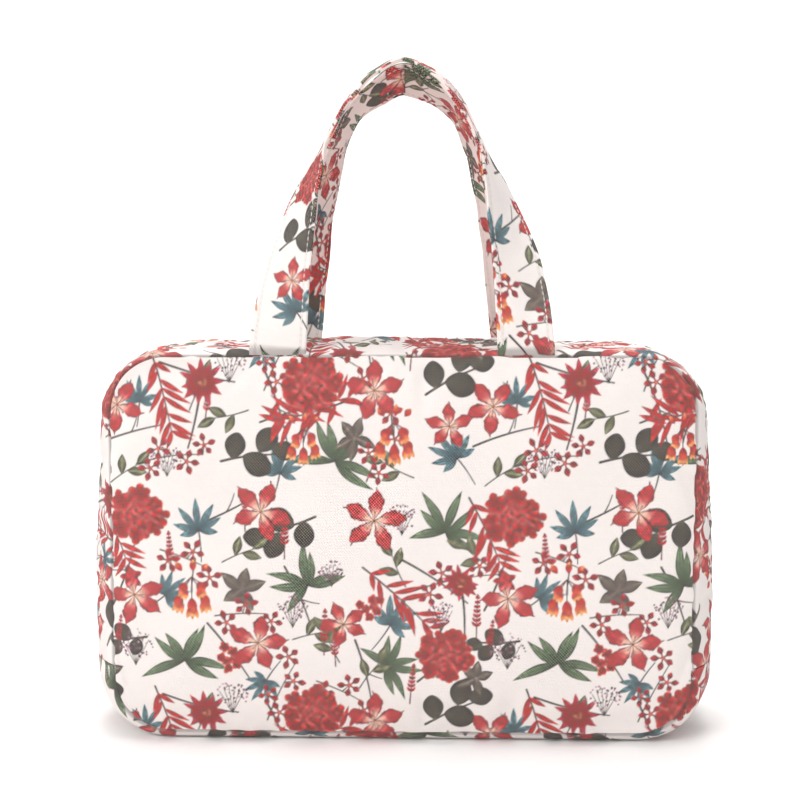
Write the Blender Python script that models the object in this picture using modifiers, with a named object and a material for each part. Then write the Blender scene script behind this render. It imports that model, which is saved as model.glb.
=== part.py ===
"""A padded makeup bag of printed canvas with two strap handles and a clamshell zip.

Frame: X to the right, -Y to the front, +Z up, in metres. The origin is on the ground under the
middle of the bag. The bag stands on its flat base. The zip runs over the top and down both sides,
halfway between the front and back panels, so the front half opens forward about its bottom seam.
"""

import math

import bmesh
import bpy
from mathutils import Matrix, Vector

# Outer size of the body.
SEAM_HALF_WIDTH = 0.151
SEAM_BOTTOM = 0.004
SEAM_TOP = 0.2025
SEAM_RADIUS = 0.030
HALF_DEPTH = 0.050

# How far the stuffed fabric stands past the seams.
SIDE_SWELL = 0.014
SIDE_SWELL_POWER = 2.5
TOP_CREST = 0.0032
TOP_VALLEY = 0.0006
CREST_AT = 0.5
RADIUS_GROWTH = 0.006
# Where the stuffed fabric is held tighter: the upper corners, and the top outside the handles.
SIDE_EASE = 0.0055
SIDE_EASE_HEIGHT = (0.075, 0.185)
SIDE_EASE_WIDTH = (0.105, 0.140)
TOP_EASE_HEIGHT = (0.150, 0.190)
TOP_EASE_WIDTH = (0.0645, 0.0968)
PANEL_SWELL = 0.0055
PANEL_SWELL_POWER = 2.2
BASE_FLAT = 0.8

# Layers, from the outside in, as depths below the outer surface.
FABRIC = 0.0008
FOAM_DEPTH = 0.0014
FOAM = 0.0020
LINING_DEPTH = 0.0043
BASE_LINING_DEPTH = 0.0056
LINING = 0.0006
PANEL_CORE_INSET = 0.0056
PANEL_FOAM_DEPTH = 0.0013
PANEL_LINING_DEPTH = 0.0038

# The side strips stop at SPLIT_Z, where the base strip takes over.
SPLIT_Z = 0.0400
SPLIT_GAP = 0.0003

# Depth stations of the layers, as fractions of HALF_DEPTH.
FABRIC_STATIONS = (0.978, 0.90, 0.78, 0.60, 0.40, 0.12)
CORE_STATIONS = (0.978, 0.90, 0.78, 0.60, 0.40, 0.25)
BASE_STATIONS = (-0.966, -0.90, -0.80, -0.60, -0.30, 0.30, 0.60, 0.80, 0.90, 0.978)

# Zip.
TAPE_EDGE = 0.0115
TAPE_INNER = 0.0025
TAPE_DEPTH = 0.0013
TAPE = 0.0005
TEETH_OUTER = 0.0021
TEETH_INNER = 0.0002
TEETH_DEPTH = 0.0004
TEETH = 0.0020

# Seam bindings and pockets on the inside.
BINDING_OUTER = 0.0451
BINDING_INNER = 0.0411
BINDING = 0.0012
FRONT_BINDING_DEPTH = 0.0056
BACK_BINDING_DEPTH = 0.0072
POCKET_HALF_WIDTH = 0.120
POCKET_BOTTOM = 0.022
POCKET_TOP = 0.120
POCKET_DEPTH = 0.0053
POCKET_TRIM_HEIGHT = 0.008

# Handles.
STRAP_WIDTH = 0.029
STRAP_THICKNESS = 0.0022
STRAP_ROOT_Z = SEAM_TOP + 0.0025
HANDLE_AXIS_Y = 0.0520
HANDLE_AXIS_Z = SEAM_TOP + 0.0015
STRAP_STATIONS = 34
# Half of each centre line, as (x, z) from a foot to the top, and where its top lies in depth.
FRONT_STRAP = (
    (0.0632, STRAP_ROOT_Z),
    (0.0613, 0.229),
    (0.0580, 0.252),
    (0.0540, 0.269),
    (0.0507, 0.282),
    (0.0465, 0.295),
    (0.0420, 0.307),
    (0.0357, 0.320),
    (0.0300, 0.331),
    (0.0225, 0.341),
    (0.0140, 0.348),
    (0.0000, 0.354),
)
BACK_STRAP = (
    (0.0632, STRAP_ROOT_Z),
    (0.0597, 0.229),
    (0.0541, 0.2535),
    (0.0478, 0.2775),
    (0.0407, 0.301),
    (0.0380, 0.310),
    (0.0310, 0.3255),
    (0.0255, 0.3325),
    (0.0148, 0.3405),
    (0.0000, 0.3475),
)
FRONT_TOP_Y = -0.0152
BACK_TOP_Y = 0.0150
# Turn of each strap about its own length, in degrees, and the length over which it turns.
FRONT_TWIST = 82.0
FRONT_TWIST_LENGTH = 0.106
SHOULDER_TWIST = 76.0
BACK_TWIST_LENGTH = 0.120
BACK_TOP_TWIST = 59.0

# Joint line of the front half.
HINGE_Y = -0.0500
HINGE_Z = 0.0050

# Sliders: plate, bridge and puller.
SLIDER_X = (0.0625, 0.0733)
SLIDER_LENGTH = 0.0096
SLIDER_WIDTH = 0.0070
SLIDER_PLATE = 0.0014
SLIDER_CLEARANCE = 0.0012
BRIDGE_POST = 0.0010
BRIDGE_WIDTH = 0.0020
BRIDGE_SPAN = 0.0070
BRIDGE_HEIGHT = 0.0026
BRIDGE_BAR = 0.0009
PULLER_LENGTH = 0.0110
PULLER_WIDTH = 0.0060
PULLER_THICKNESS = 0.0009
PULLER_ARM = 0.0010
PULLER_ARM_REACH = 0.0050

# Mesh fineness.
CORNER_SEGMENTS = 6
TOP_SEGMENTS = 8
BASE_SEGMENTS = 4
SIDE_SEGMENTS = 2
PANEL_RINGS = (0.0, 0.08, 0.25, 0.55)

# Colours (linear), roughness and metallic value of each material.
CANVAS = ((0.86, 0.74, 0.70), 0.85, 0.0)
FOAM_WHITE = ((0.80, 0.80, 0.76), 0.95, 0.0)
LINING_CLOTH = ((0.72, 0.62, 0.56), 0.80, 0.0)
BINDING_CLOTH = ((0.55, 0.10, 0.12), 0.75, 0.0)
BOARD = ((0.20, 0.20, 0.21), 0.60, 0.0)
TAPE_CLOTH = ((0.83, 0.78, 0.70), 0.80, 0.0)
TEETH_NYLON = ((0.85, 0.80, 0.73), 0.45, 0.0)
METAL = ((0.72, 0.70, 0.66), 0.30, 1.0)


def clear_scene():
    for obj in list(bpy.data.objects):
        bpy.data.objects.remove(obj, do_unlink=True)


def new_collection(name, hidden=False):
    collection = bpy.data.collections.new(name)
    bpy.context.scene.collection.children.link(collection)
    collection.hide_render = hidden
    return collection


def principled(name, look):
    colour, roughness, metallic = look
    material = bpy.data.materials.new(name)
    material.use_nodes = True
    shader = material.node_tree.nodes["Principled BSDF"]
    shader.inputs["Base Color"].default_value = (*colour, 1.0)
    shader.inputs["Roughness"].default_value = roughness
    shader.inputs["Metallic"].default_value = metallic
    material.diffuse_color = (*colour, 1.0)
    return material


def add_empty(name, location, parent=None):
    empty = bpy.data.objects.new(name, None)
    empty.empty_display_size = 0.02
    PARTS.objects.link(empty)
    empty.location = location
    if parent is not None:
        attach(empty, parent)
    return empty


def attach(obj, parent):
    """Parents obj and keeps its place in the world."""
    bpy.context.view_layer.update()
    obj.parent = parent
    obj.matrix_parent_inverse = parent.matrix_world.inverted()


def finish_object(obj, look, parent):
    obj.data.materials.append(principled(obj.name, look))
    if parent is not None:
        attach(obj, parent)
    return obj


def solidify(obj, thickness, offset=-1.0):
    modifier = obj.modifiers.new("Thickness", "SOLIDIFY")
    modifier.thickness = thickness
    modifier.offset = offset
    modifier.use_even_offset = False
    return modifier


def sheet_object(name, rows, thickness, look, parent=None, closed=False, flip=False, offset=-1.0):
    """A shell over a grid of points. rows is a list of equally long runs of points."""
    mesh = bpy.data.meshes.new(name)
    bm = bmesh.new()
    grid = [[bm.verts.new(point) for point in row] for row in rows]
    count = len(rows[0])
    last = count if closed else count - 1
    for lower, upper in zip(grid, grid[1:]):
        for i in range(last):
            j = (i + 1) % count
            corners = [lower[i], lower[j], upper[j], upper[i]]
            if flip:
                corners.reverse()
            bm.faces.new(corners)
    bm.to_mesh(mesh)
    bm.free()
    mesh.shade_smooth()
    obj = bpy.data.objects.new(name, mesh)
    PARTS.objects.link(obj)
    solidify(obj, thickness, offset)
    return finish_object(obj, look, parent)


def arc(cx, cz, radius, start, end):
    """Points of a corner, from the start angle to the end angle in degrees, both ends included."""
    points = []
    for i in range(CORNER_SEGMENTS + 1):
        angle = math.radians(start + (end - start) * i / CORNER_SEGMENTS)
        points.append((cx + radius * math.cos(angle), cz + radius * math.sin(angle)))
    return points


def between(first, second, segments):
    """Points strictly between two ends of a straight run."""
    points = []
    for i in range(1, segments):
        f = i / segments
        points.append((first[0] + (second[0] - first[0]) * f, first[1] + (second[1] - first[1]) * f))
    return points


def top_rise(t):
    """Height of the top strip over the seam at the depth fraction t."""
    if t >= CREST_AT:
        f = (t - CREST_AT) / (1.0 - CREST_AT)
        return TOP_CREST * (1.0 - f * f)
    f = t / CREST_AT
    return TOP_VALLEY + (TOP_CREST - TOP_VALLEY) * f * f * (3.0 - 2.0 * f)


def smooth(value, start, end):
    """A smooth step from 0 at start to 1 at end."""
    f = min(1.0, max(0.0, (value - start) / (end - start)))
    return f * f * (3.0 - 2.0 * f)


def ease(x, z, t):
    """How far a point of the outer surface is drawn in, along X and along Z."""
    swell = 1.0 - t**SIDE_SWELL_POWER
    across = SIDE_EASE * swell * smooth(z, *SIDE_EASE_HEIGHT) * smooth(abs(x), *SIDE_EASE_WIDTH)
    level = TOP_VALLEY
    if t >= CREST_AT:
        f = (t - CREST_AT) / (1.0 - CREST_AT)
        level = TOP_VALLEY * (1.0 - f * f)
    down = (top_rise(t) - level) * smooth(z, *TOP_EASE_HEIGHT) * smooth(abs(x), *TOP_EASE_WIDTH)
    return math.copysign(across, x), down


def base_rise(t):
    """Height of the base strip over the ground at the depth fraction t."""
    if t <= BASE_FLAT:
        return 0.0
    f = (t - BASE_FLAT) / (1.0 - BASE_FLAT)
    return SEAM_BOTTOM * f * f


def section(y, inset):
    """Half width, bottom, top and corner radius of the bag's outline at the depth y."""
    t = min(1.0, abs(y) / HALF_DEPTH)
    swell = 1.0 - t**SIDE_SWELL_POWER
    half_width = SEAM_HALF_WIDTH + SIDE_SWELL * swell - inset
    bottom = base_rise(t) + inset
    top = SEAM_TOP + top_rise(t) - inset
    radius = SEAM_RADIUS + RADIUS_GROWTH * swell - inset
    return half_width, bottom, top, radius


def upper_outline(y, inset):
    w, bottom, top, r = section(y, inset)
    left = [(-w, SPLIT_Z + SPLIT_GAP)]
    left += between(left[0], (-w, top - r), SIDE_SEGMENTS)
    corner = arc(-w + r, top - r, r, 180.0, 90.0)
    ridge = between((-w + r, top), (w - r, top), TOP_SEGMENTS)
    mirrored = [(-x, z) for x, z in reversed(left + corner)]
    return left + corner + ridge + mirrored


def full_outline(y, inset):
    w, bottom, top, r = section(y, inset)
    left_top = arc(-w + r, top - r, r, 180.0, 90.0)
    right_top = arc(w - r, top - r, r, 90.0, 0.0)
    right_bottom = arc(w - r, bottom + r, r, 0.0, -90.0)
    left_bottom = arc(-w + r, bottom + r, r, -90.0, -180.0)
    points = left_top + between(left_top[-1], right_top[0], TOP_SEGMENTS)
    points += right_top + between(right_top[-1], right_bottom[0], SIDE_SEGMENTS)
    points += right_bottom + between(right_bottom[-1], left_bottom[0], BASE_SEGMENTS)
    points += left_bottom + between(left_bottom[-1], left_top[0], SIDE_SEGMENTS)
    return points


def eased(outline, y, inset):
    """Points of an outline, every layer moved as the outer surface is."""
    t = min(1.0, abs(y) / HALF_DEPTH)
    points = []
    for (x, z), outer in zip(outline(y, inset), outline(y, 0.0)):
        across, down = ease(*outer, t)
        points.append(Vector((x - across, y, z - down)))
    return points


def upper_run(y, inset):
    """Left side, top and right side of the outline, from SPLIT_Z to SPLIT_Z."""
    return eased(upper_outline, y, inset)


def lower_run(y, inset):
    """Right side, bottom and left side of the outline, from SPLIT_Z to SPLIT_Z."""
    w, bottom, top, r = section(y, inset)
    corner = arc(w - r, bottom + r, r, 0.0, -90.0)
    floor = between((w - r, bottom), (-w + r, bottom), BASE_SEGMENTS)
    right = [(w, SPLIT_Z - SPLIT_GAP)] + corner
    mirrored = [(-x, z) for x, z in reversed(right)]
    return [Vector((x, y, z)) for x, z in right + floor + mirrored]


def full_loop(y, inset):
    """The whole outline, clockwise as seen from the front."""
    return eased(full_outline, y, inset)


def panel_swell(k):
    """How far a panel stands past its seam where the outline is scaled by k (1 at the seam)."""
    return PANEL_SWELL * (1.0 - k**PANEL_SWELL_POWER)


def panel_object(name, side, inset, depth, thickness, look, parent=None):
    """A swollen panel inside the seam. side is -1 at the front and +1 at the back."""
    rim = full_loop(side * HALF_DEPTH, inset)
    centre = Vector((0.0, 0.0, (SEAM_BOTTOM + SEAM_TOP) / 2.0))
    mesh = bpy.data.meshes.new(name)
    bm = bmesh.new()
    rings = []
    for t in PANEL_RINGS:
        k = 1.0 - t
        y = side * (HALF_DEPTH - depth + panel_swell(k))
        ring = []
        for point in rim:
            x = point.x * k
            z = centre.z + (point.z - centre.z) * k
            ring.append(bm.verts.new((x, y, z)))
        rings.append(ring)
    middle = bm.verts.new((0.0, side * (HALF_DEPTH - depth + panel_swell(0.0)), centre.z))
    count = len(rim)
    for outer, inner in zip(rings, rings[1:]):
        for i in range(count):
            j = (i + 1) % count
            corners = [outer[i], inner[i], inner[j], outer[j]]
            bm.faces.new(corners if side < 0 else corners[::-1])
    for i in range(count):
        j = (i + 1) % count
        corners = [rings[-1][i], middle, rings[-1][j]]
        bm.faces.new(corners if side < 0 else corners[::-1])
    bm.to_mesh(mesh)
    bm.free()
    mesh.shade_smooth()
    obj = bpy.data.objects.new(name, mesh)
    PARTS.objects.link(obj)
    solidify(obj, thickness)
    return finish_object(obj, look, parent)


def strip_object(name, run, depths, inset, thickness, look, parent=None, closed=False):
    """A strip that follows the outline, over the given depths from front to back or back to front."""
    rows = [run(y, inset) for y in depths]
    return sheet_object(name, rows, thickness, look, parent, closed, flip=depths[0] > depths[-1])


def half_shell(prefix, side, parent):
    """Panel, top-and-side strip, zip half, bindings and pocket of one half of the bag."""
    fabric_y = [side * t * HALF_DEPTH for t in FABRIC_STATIONS]
    core_y = [side * t * HALF_DEPTH for t in CORE_STATIONS]
    panel_object(prefix + "_panel", side, 0.0, 0.0, FABRIC, CANVAS, parent)
    panel_object(
        prefix + "_panel_foam", side, PANEL_CORE_INSET, PANEL_FOAM_DEPTH, FOAM, FOAM_WHITE, parent
    )
    panel_object(
        prefix + "_panel_lining",
        side,
        PANEL_CORE_INSET,
        PANEL_LINING_DEPTH,
        LINING,
        LINING_CLOTH,
        parent,
    )
    strip_object(prefix + "_gusset", upper_run, fabric_y, 0.0, FABRIC, CANVAS, parent)
    strip_object(prefix + "_gusset_foam", upper_run, core_y, FOAM_DEPTH, FOAM, FOAM_WHITE, parent)
    strip_object(
        prefix + "_gusset_lining", upper_run, core_y, LINING_DEPTH, LINING, LINING_CLOTH, parent
    )
    tape_y = [side * TAPE_EDGE, side * TAPE_INNER]
    teeth_y = [side * TEETH_OUTER, side * TEETH_INNER]
    strip_object(prefix + "_zip_tape", upper_run, tape_y, TAPE_DEPTH, TAPE, TAPE_CLOTH, parent)
    strip_object(prefix + "_zip_teeth", upper_run, teeth_y, TEETH_DEPTH, TEETH, TEETH_NYLON, parent)
    pocket(prefix, side, parent)


def pocket_rows(side, z_levels, depth):
    centre_z = (SEAM_BOTTOM + SEAM_TOP) / 2.0
    half_height = (SEAM_TOP - SEAM_BOTTOM) / 2.0 - PANEL_CORE_INSET
    half_width = SEAM_HALF_WIDTH - PANEL_CORE_INSET
    rows = []
    for z in z_levels:
        row = []
        for i in range(7):
            x = POCKET_HALF_WIDTH * (i / 3.0 - 1.0)
            k = max(abs(x) / half_width, abs(z - centre_z) / half_height)
            row.append(Vector((x, side * (HALF_DEPTH + panel_swell(k) - depth), z)))
        rows.append(row)
    return rows


def pocket(prefix, side, parent):
    """A flat slip pocket on the lining, with a binding along its mouth."""
    step = (POCKET_TOP - POCKET_BOTTOM) / 3.0
    levels = [POCKET_BOTTOM + step * i for i in range(4)]
    rows = pocket_rows(side, levels, POCKET_DEPTH)
    sheet_object(prefix + "_pocket", rows, LINING, LINING_CLOTH, parent, flip=side > 0)
    trim_levels = (POCKET_TOP + SPLIT_GAP, POCKET_TOP + POCKET_TRIM_HEIGHT)
    rows = pocket_rows(side, trim_levels, POCKET_DEPTH)
    name = prefix + "_pocket_binding"
    sheet_object(name, rows, BINDING, BINDING_CLOTH, parent, flip=side > 0)


def bindings(front_half):
    front_y = [-BINDING_OUTER, -BINDING_INNER]
    back_y = [BINDING_OUTER, BINDING_INNER]
    look = BINDING_CLOTH
    strip_object(
        "front_seam_binding", upper_run, front_y, FRONT_BINDING_DEPTH, BINDING, look, front_half
    )
    strip_object("base_front_binding", lower_run, front_y, BACK_BINDING_DEPTH, BINDING, look)
    strip_object(
        "back_seam_binding", full_loop, back_y, BACK_BINDING_DEPTH, BINDING, look, closed=True
    )


def base():
    depths = [t * HALF_DEPTH for t in BASE_STATIONS]
    strip_object("base_gusset", lower_run, depths, 0.0, FABRIC, CANVAS)
    strip_object("base_foam", lower_run, depths, FOAM_DEPTH, FOAM, FOAM_WHITE)
    strip_object("base_lining", lower_run, depths, BASE_LINING_DEPTH, LINING, LINING_CLOTH)
    length = 2.0 * (SEAM_HALF_WIDTH - SEAM_RADIUS)
    width = 2.0 * BASE_FLAT * HALF_DEPTH
    z = FOAM_DEPTH + FOAM + 0.0011
    box_object("base_board", (length, width, 0.0014), (0.0, 0.0, z), BOARD, bevel=0.0003)


def box_mesh(name, size, location, bevel=0.0):
    """A box of the given size, its edges rounded, as an object placed by its location."""
    mesh = bpy.data.meshes.new(name)
    bm = bmesh.new()
    bmesh.ops.create_cube(bm, size=1.0, matrix=Matrix.Diagonal((*size, 1.0)))
    bm.to_mesh(mesh)
    bm.free()
    obj = bpy.data.objects.new(name, mesh)
    PARTS.objects.link(obj)
    obj.location = location
    if bevel > 0.0:
        modifier = obj.modifiers.new("Edges", "BEVEL")
        modifier.width = bevel
        modifier.segments = 1
    return obj


def box_object(name, size, location, look, parent=None, bevel=0.0):
    obj = box_mesh(name, size, location, bevel)
    return finish_object(obj, look, parent)


def zip_end_tab(name, side):
    """A folded fabric tab over the lower end of the zip, on the base strip."""
    rows = []
    for z in (SPLIT_Z - 0.0120, SPLIT_Z - 0.0060, SPLIT_Z - 0.0008):
        row = []
        for y in (-0.0100, -0.0050, 0.0, 0.0050, 0.0100):
            w, bottom, top, r = section(y, -0.0004)
            drop = max(0.0, bottom + r - z)
            x = w - r + math.sqrt(max(0.0, r * r - drop * drop))
            row.append(Vector((side * x, y, z)))
        rows.append(row)
    sheet_object(name, rows, 0.0010, TAPE_CLOTH, flip=side < 0, offset=1.0)


def strap_path(points, base_y, apex_y):
    """Centre line of a handle from one foot to the other, evenly spaced, with its distance from
    the nearer foot. points is the half from a foot to the top, as (x, z)."""
    half = smooth_run([Vector((-x, 0.0, z)) for x, z in points], 40)
    lengths = [0.0]
    for a, b in zip(half, half[1:]):
        lengths.append(lengths[-1] + (b - a).length)
    total = lengths[-1]
    stations = []
    for i in range(STRAP_STATIONS + 1):
        along = 2.0 * total * i / STRAP_STATIONS
        mirrored = along > total
        distance = 2.0 * total - along if mirrored else along
        point = at_length(half, lengths, distance)
        point.y = base_y + (apex_y - base_y) * math.sin(math.pi / 2.0 * distance / total)
        if mirrored:
            point.x = -point.x
        stations.append((point, distance))
    return stations


def smooth_run(points, samples):
    """A Catmull-Rom curve through the points, its last tangent level with the top of the arch."""
    before = points[0] * 2.0 - points[1]
    after = Vector((-points[-2].x, 0.0, points[-2].z))
    knots = [before] + points + [after]
    curve = []
    for i in range(1, len(knots) - 2):
        p0, p1, p2, p3 = knots[i - 1 : i + 3]
        for s in range(samples):
            f = s / samples
            a = 2.0 * p1
            b = (p2 - p0) * f
            c = (2.0 * p0 - 5.0 * p1 + 4.0 * p2 - p3) * f * f
            d = (3.0 * p1 - p0 - 3.0 * p2 + p3) * f * f * f
            curve.append((a + b + c + d) / 2.0)
    curve.append(points[-1].copy())
    return curve


def at_length(points, lengths, distance):
    for i in range(1, len(points)):
        if lengths[i] >= distance:
            step = lengths[i] - lengths[i - 1]
            f = (distance - lengths[i - 1]) / step if step > 0.0 else 0.0
            return points[i - 1].lerp(points[i], f)
    return points[-1].copy()


def front_twist(distance, total):
    """Turn of the front strap about its own length, in degrees, from its foot."""
    return FRONT_TWIST * min(1.0, distance / FRONT_TWIST_LENGTH)


def back_twist(distance, total):
    """Turn of the back strap, which is greatest at its shoulders and relaxes towards the top."""
    if distance <= BACK_TWIST_LENGTH:
        return SHOULDER_TWIST * math.sin(math.pi / 2.0 * distance / BACK_TWIST_LENGTH)
    f = (distance - BACK_TWIST_LENGTH) / (total - BACK_TWIST_LENGTH)
    return SHOULDER_TWIST + (BACK_TOP_TWIST - SHOULDER_TWIST) * f * f


def handle(name, points, side, apex_y, twist_at, parent):
    """A flat strap sewn upright into its seam, which turns about its own length on its way up.
    Its inner edge turns away from the bag's middle: forward on the front strap, back on the other."""
    stations = strap_path(points, side * HALF_DEPTH, apex_y)
    total = max(distance for centre, distance in stations)
    rows = []
    for i, (centre, distance) in enumerate(stations):
        a = stations[max(0, i - 1)][0]
        b = stations[min(len(stations) - 1, i + 1)][0]
        tangent = (b - a).normalized()
        inward = tangent.cross(Vector((0.0, -1.0, 0.0))).normalized()
        inward = -inward if inward.dot(centre - Vector((0.0, 0.0, 0.25))) > 0.0 else inward
        twist = math.radians(twist_at(distance, total))
        across = inward * math.cos(twist) + Vector((0.0, side, 0.0)) * math.sin(twist)
        across = (across - tangent * across.dot(tangent)).normalized()
        rows.append([centre + across * STRAP_WIDTH * f for f in (-0.5, 0.0, 0.5)])
    sheet_object(name, rows, STRAP_THICKNESS, CANVAS, parent, offset=0.0)


def join_boxes(name, boxes, location, look, parent, bevel=0.0):
    """One body from overlapping boxes, each given as (size, centre)."""
    obj = box_mesh(name, boxes[0][0], (0.0, 0.0, 0.0))
    obj.data.transform(Matrix.Translation(boxes[0][1]))
    obj.location = location
    for i, (size, centre) in enumerate(boxes[1:]):
        cutter = box_mesh(name + "_block_" + str(i), size, Vector(location) + Vector(centre))
        PARTS.objects.unlink(cutter)
        CUTTERS.objects.link(cutter)
        cutter.hide_render = True
        cutter.display_type = "WIRE"
        modifier = obj.modifiers.new("Join " + str(i), "BOOLEAN")
        modifier.operation = "UNION"
        modifier.solver = "EXACT"
        modifier.object = cutter
        if parent is not None:
            attach(cutter, parent)
    if bevel > 0.0:
        modifier = obj.modifiers.new("Edges", "BEVEL")
        modifier.width = bevel
        modifier.segments = 1
    return finish_object(obj, look, parent)


def slider(name, x, direction):
    """A zip slider: top plate with a bridge, and its puller hinged under the bridge."""
    plate_z = SEAM_TOP + TOP_VALLEY - TEETH_DEPTH + SLIDER_CLEARANCE + SLIDER_PLATE / 2.0
    axis_z = plate_z + SLIDER_PLATE / 2.0 + 0.0009
    post_x = (BRIDGE_SPAN - BRIDGE_POST) / 2.0
    post_z = SLIDER_PLATE / 2.0 + BRIDGE_HEIGHT / 2.0 - 0.0002
    post = (BRIDGE_POST, BRIDGE_WIDTH, BRIDGE_HEIGHT)
    bar_z = SLIDER_PLATE / 2.0 + BRIDGE_HEIGHT - 0.0002 - BRIDGE_BAR / 2.0
    boxes = [
        ((SLIDER_LENGTH, SLIDER_WIDTH, SLIDER_PLATE), (0.0, 0.0, 0.0)),
        (post, (-post_x, 0.0, post_z)),
        (post, (post_x, 0.0, post_z)),
        ((BRIDGE_SPAN - 0.0002, BRIDGE_WIDTH - 0.0002, BRIDGE_BAR), (0.0, 0.0, bar_z)),
    ]
    empty = add_empty("slide_" + name, (x, 0.0, plate_z))
    join_boxes("slider_" + name, boxes, (x, 0.0, plate_z), METAL, empty)
    pivot = add_empty("pivot_" + name, (x, 0.0, axis_z), empty)
    arm_y = BRIDGE_WIDTH / 2.0 + 0.0004 + PULLER_ARM / 2.0
    arm = (PULLER_ARM_REACH, PULLER_ARM, PULLER_THICKNESS)
    arm_x = direction * (PULLER_ARM_REACH / 2.0 - PULLER_THICKNESS / 2.0)
    tab_start = PULLER_ARM_REACH - 0.0010
    tab_length = PULLER_LENGTH - tab_start
    tab_x = direction * (tab_start + tab_length / 2.0)
    pin = (PULLER_THICKNESS - 0.0001, 2.0 * arm_y + 0.0002, PULLER_THICKNESS - 0.0001)
    boxes = [
        ((tab_length, PULLER_WIDTH, PULLER_THICKNESS), (tab_x, 0.0, 0.0)),
        (arm, (arm_x, -arm_y, 0.0)),
        (arm, (arm_x, arm_y, 0.0)),
        (pin, (0.0, 0.0, 0.0)),
    ]
    join_boxes("puller_" + name, boxes, (x, 0.0, axis_z), METAL, pivot)


clear_scene()
PARTS = new_collection("makeup_bag")
CUTTERS = new_collection("cutters", hidden=True)

front_hinge = add_empty("front_half_hinge", (0.0, HINGE_Y, HINGE_Z))
front_handle_axis = add_empty("front_handle_axis", (0.0, -HANDLE_AXIS_Y, HANDLE_AXIS_Z), front_hinge)
back_handle_axis = add_empty("back_handle_axis", (0.0, HANDLE_AXIS_Y, HANDLE_AXIS_Z))

half_shell("front", -1.0, front_hinge)
half_shell("back", 1.0, None)
bindings(front_hinge)
base()
zip_end_tab("zip_end_tab_left", -1.0)
zip_end_tab("zip_end_tab_right", 1.0)

handle("front_handle", FRONT_STRAP, -1.0, FRONT_TOP_Y, front_twist, front_handle_axis)
handle("back_handle", BACK_STRAP, 1.0, BACK_TOP_Y, back_twist, back_handle_axis)

slider("left", SLIDER_X[0], -1.0)
slider("right", SLIDER_X[1], 1.0)
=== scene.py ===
"""Looks of a padded makeup bag of printed canvas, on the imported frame. Metres unless a name says mm."""

import math

import bpy
import numpy as np
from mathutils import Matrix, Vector


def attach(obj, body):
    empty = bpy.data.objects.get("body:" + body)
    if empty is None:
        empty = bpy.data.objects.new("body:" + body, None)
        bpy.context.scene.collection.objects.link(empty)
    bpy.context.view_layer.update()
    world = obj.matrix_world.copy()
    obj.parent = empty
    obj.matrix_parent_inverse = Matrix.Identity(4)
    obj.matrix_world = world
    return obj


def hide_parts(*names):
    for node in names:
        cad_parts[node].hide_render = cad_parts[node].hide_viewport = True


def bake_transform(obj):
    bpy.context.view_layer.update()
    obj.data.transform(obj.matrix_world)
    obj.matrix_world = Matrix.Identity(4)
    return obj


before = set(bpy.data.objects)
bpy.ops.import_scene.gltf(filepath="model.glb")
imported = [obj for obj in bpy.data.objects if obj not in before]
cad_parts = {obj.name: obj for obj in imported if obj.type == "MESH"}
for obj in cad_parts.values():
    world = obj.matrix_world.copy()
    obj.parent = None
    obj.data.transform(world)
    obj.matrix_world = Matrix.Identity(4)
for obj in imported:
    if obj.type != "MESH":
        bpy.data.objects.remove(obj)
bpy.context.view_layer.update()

# ---------------------------------------------------------------- shape of the body, as in the CAD
SEAM_HALF_WIDTH = 0.151
SEAM_BOTTOM = 0.004
SEAM_TOP = 0.2025
SEAM_RADIUS = 0.030
HALF_DEPTH = 0.050
SIDE_SWELL = 0.014
SIDE_SWELL_POWER = 2.5
TOP_CREST = 0.0032
TOP_VALLEY = 0.0006
CREST_AT = 0.5
RADIUS_GROWTH = 0.006
SIDE_EASE = 0.0055
SIDE_EASE_HEIGHT = (0.075, 0.185)
SIDE_EASE_WIDTH = (0.105, 0.140)
TOP_EASE_HEIGHT = (0.150, 0.190)
TOP_EASE_WIDTH = (0.0645, 0.0968)
PANEL_SWELL = 0.0055
BASE_FLAT = 0.8
SPLIT_Z = 0.0400
SPLIT_GAP = 0.0003
MIDDLE_Z = (SEAM_BOTTOM + SEAM_TOP) / 2.0
HALF_HEIGHT = (SEAM_TOP - SEAM_BOTTOM) / 2.0
STRAP_WIDTH = 0.029
STRAP_THICKNESS = 0.0022
STRAP_ROOT_Z = SEAM_TOP + 0.0025
FRONT_STRAP = (
    (0.0632, STRAP_ROOT_Z), (0.0613, 0.229), (0.0580, 0.252), (0.0540, 0.269), (0.0507, 0.282),
    (0.0465, 0.295), (0.0420, 0.307), (0.0357, 0.320), (0.0300, 0.331), (0.0225, 0.341),
    (0.0140, 0.348), (0.0000, 0.354),
)
BACK_STRAP = (
    (0.0632, STRAP_ROOT_Z), (0.0597, 0.229), (0.0541, 0.2535), (0.0478, 0.2775), (0.0407, 0.301),
    (0.0380, 0.310), (0.0310, 0.3255), (0.0255, 0.3325), (0.0148, 0.3405), (0.0000, 0.3475),
)
FRONT_TOP_Y = -0.0152
BACK_TOP_Y = 0.0150
SLIDER_X = (0.0625, 0.0733)

# ---------------------------------------------------------------- the print, painted on one repeat
TILE_W_MM = 192.0
TILE_H_MM = 172.0
CELL_MM = 0.25
TILE_COLS = int(TILE_W_MM / CELL_MM)
TILE_ROWS = int(TILE_H_MM / CELL_MM)


def tone(code):
    """Three values from 0 to 1 for a colour written as six hex digits."""
    return np.array([int(code[i : i + 2], 16) for i in (0, 2, 4)]) / 255.0


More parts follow.
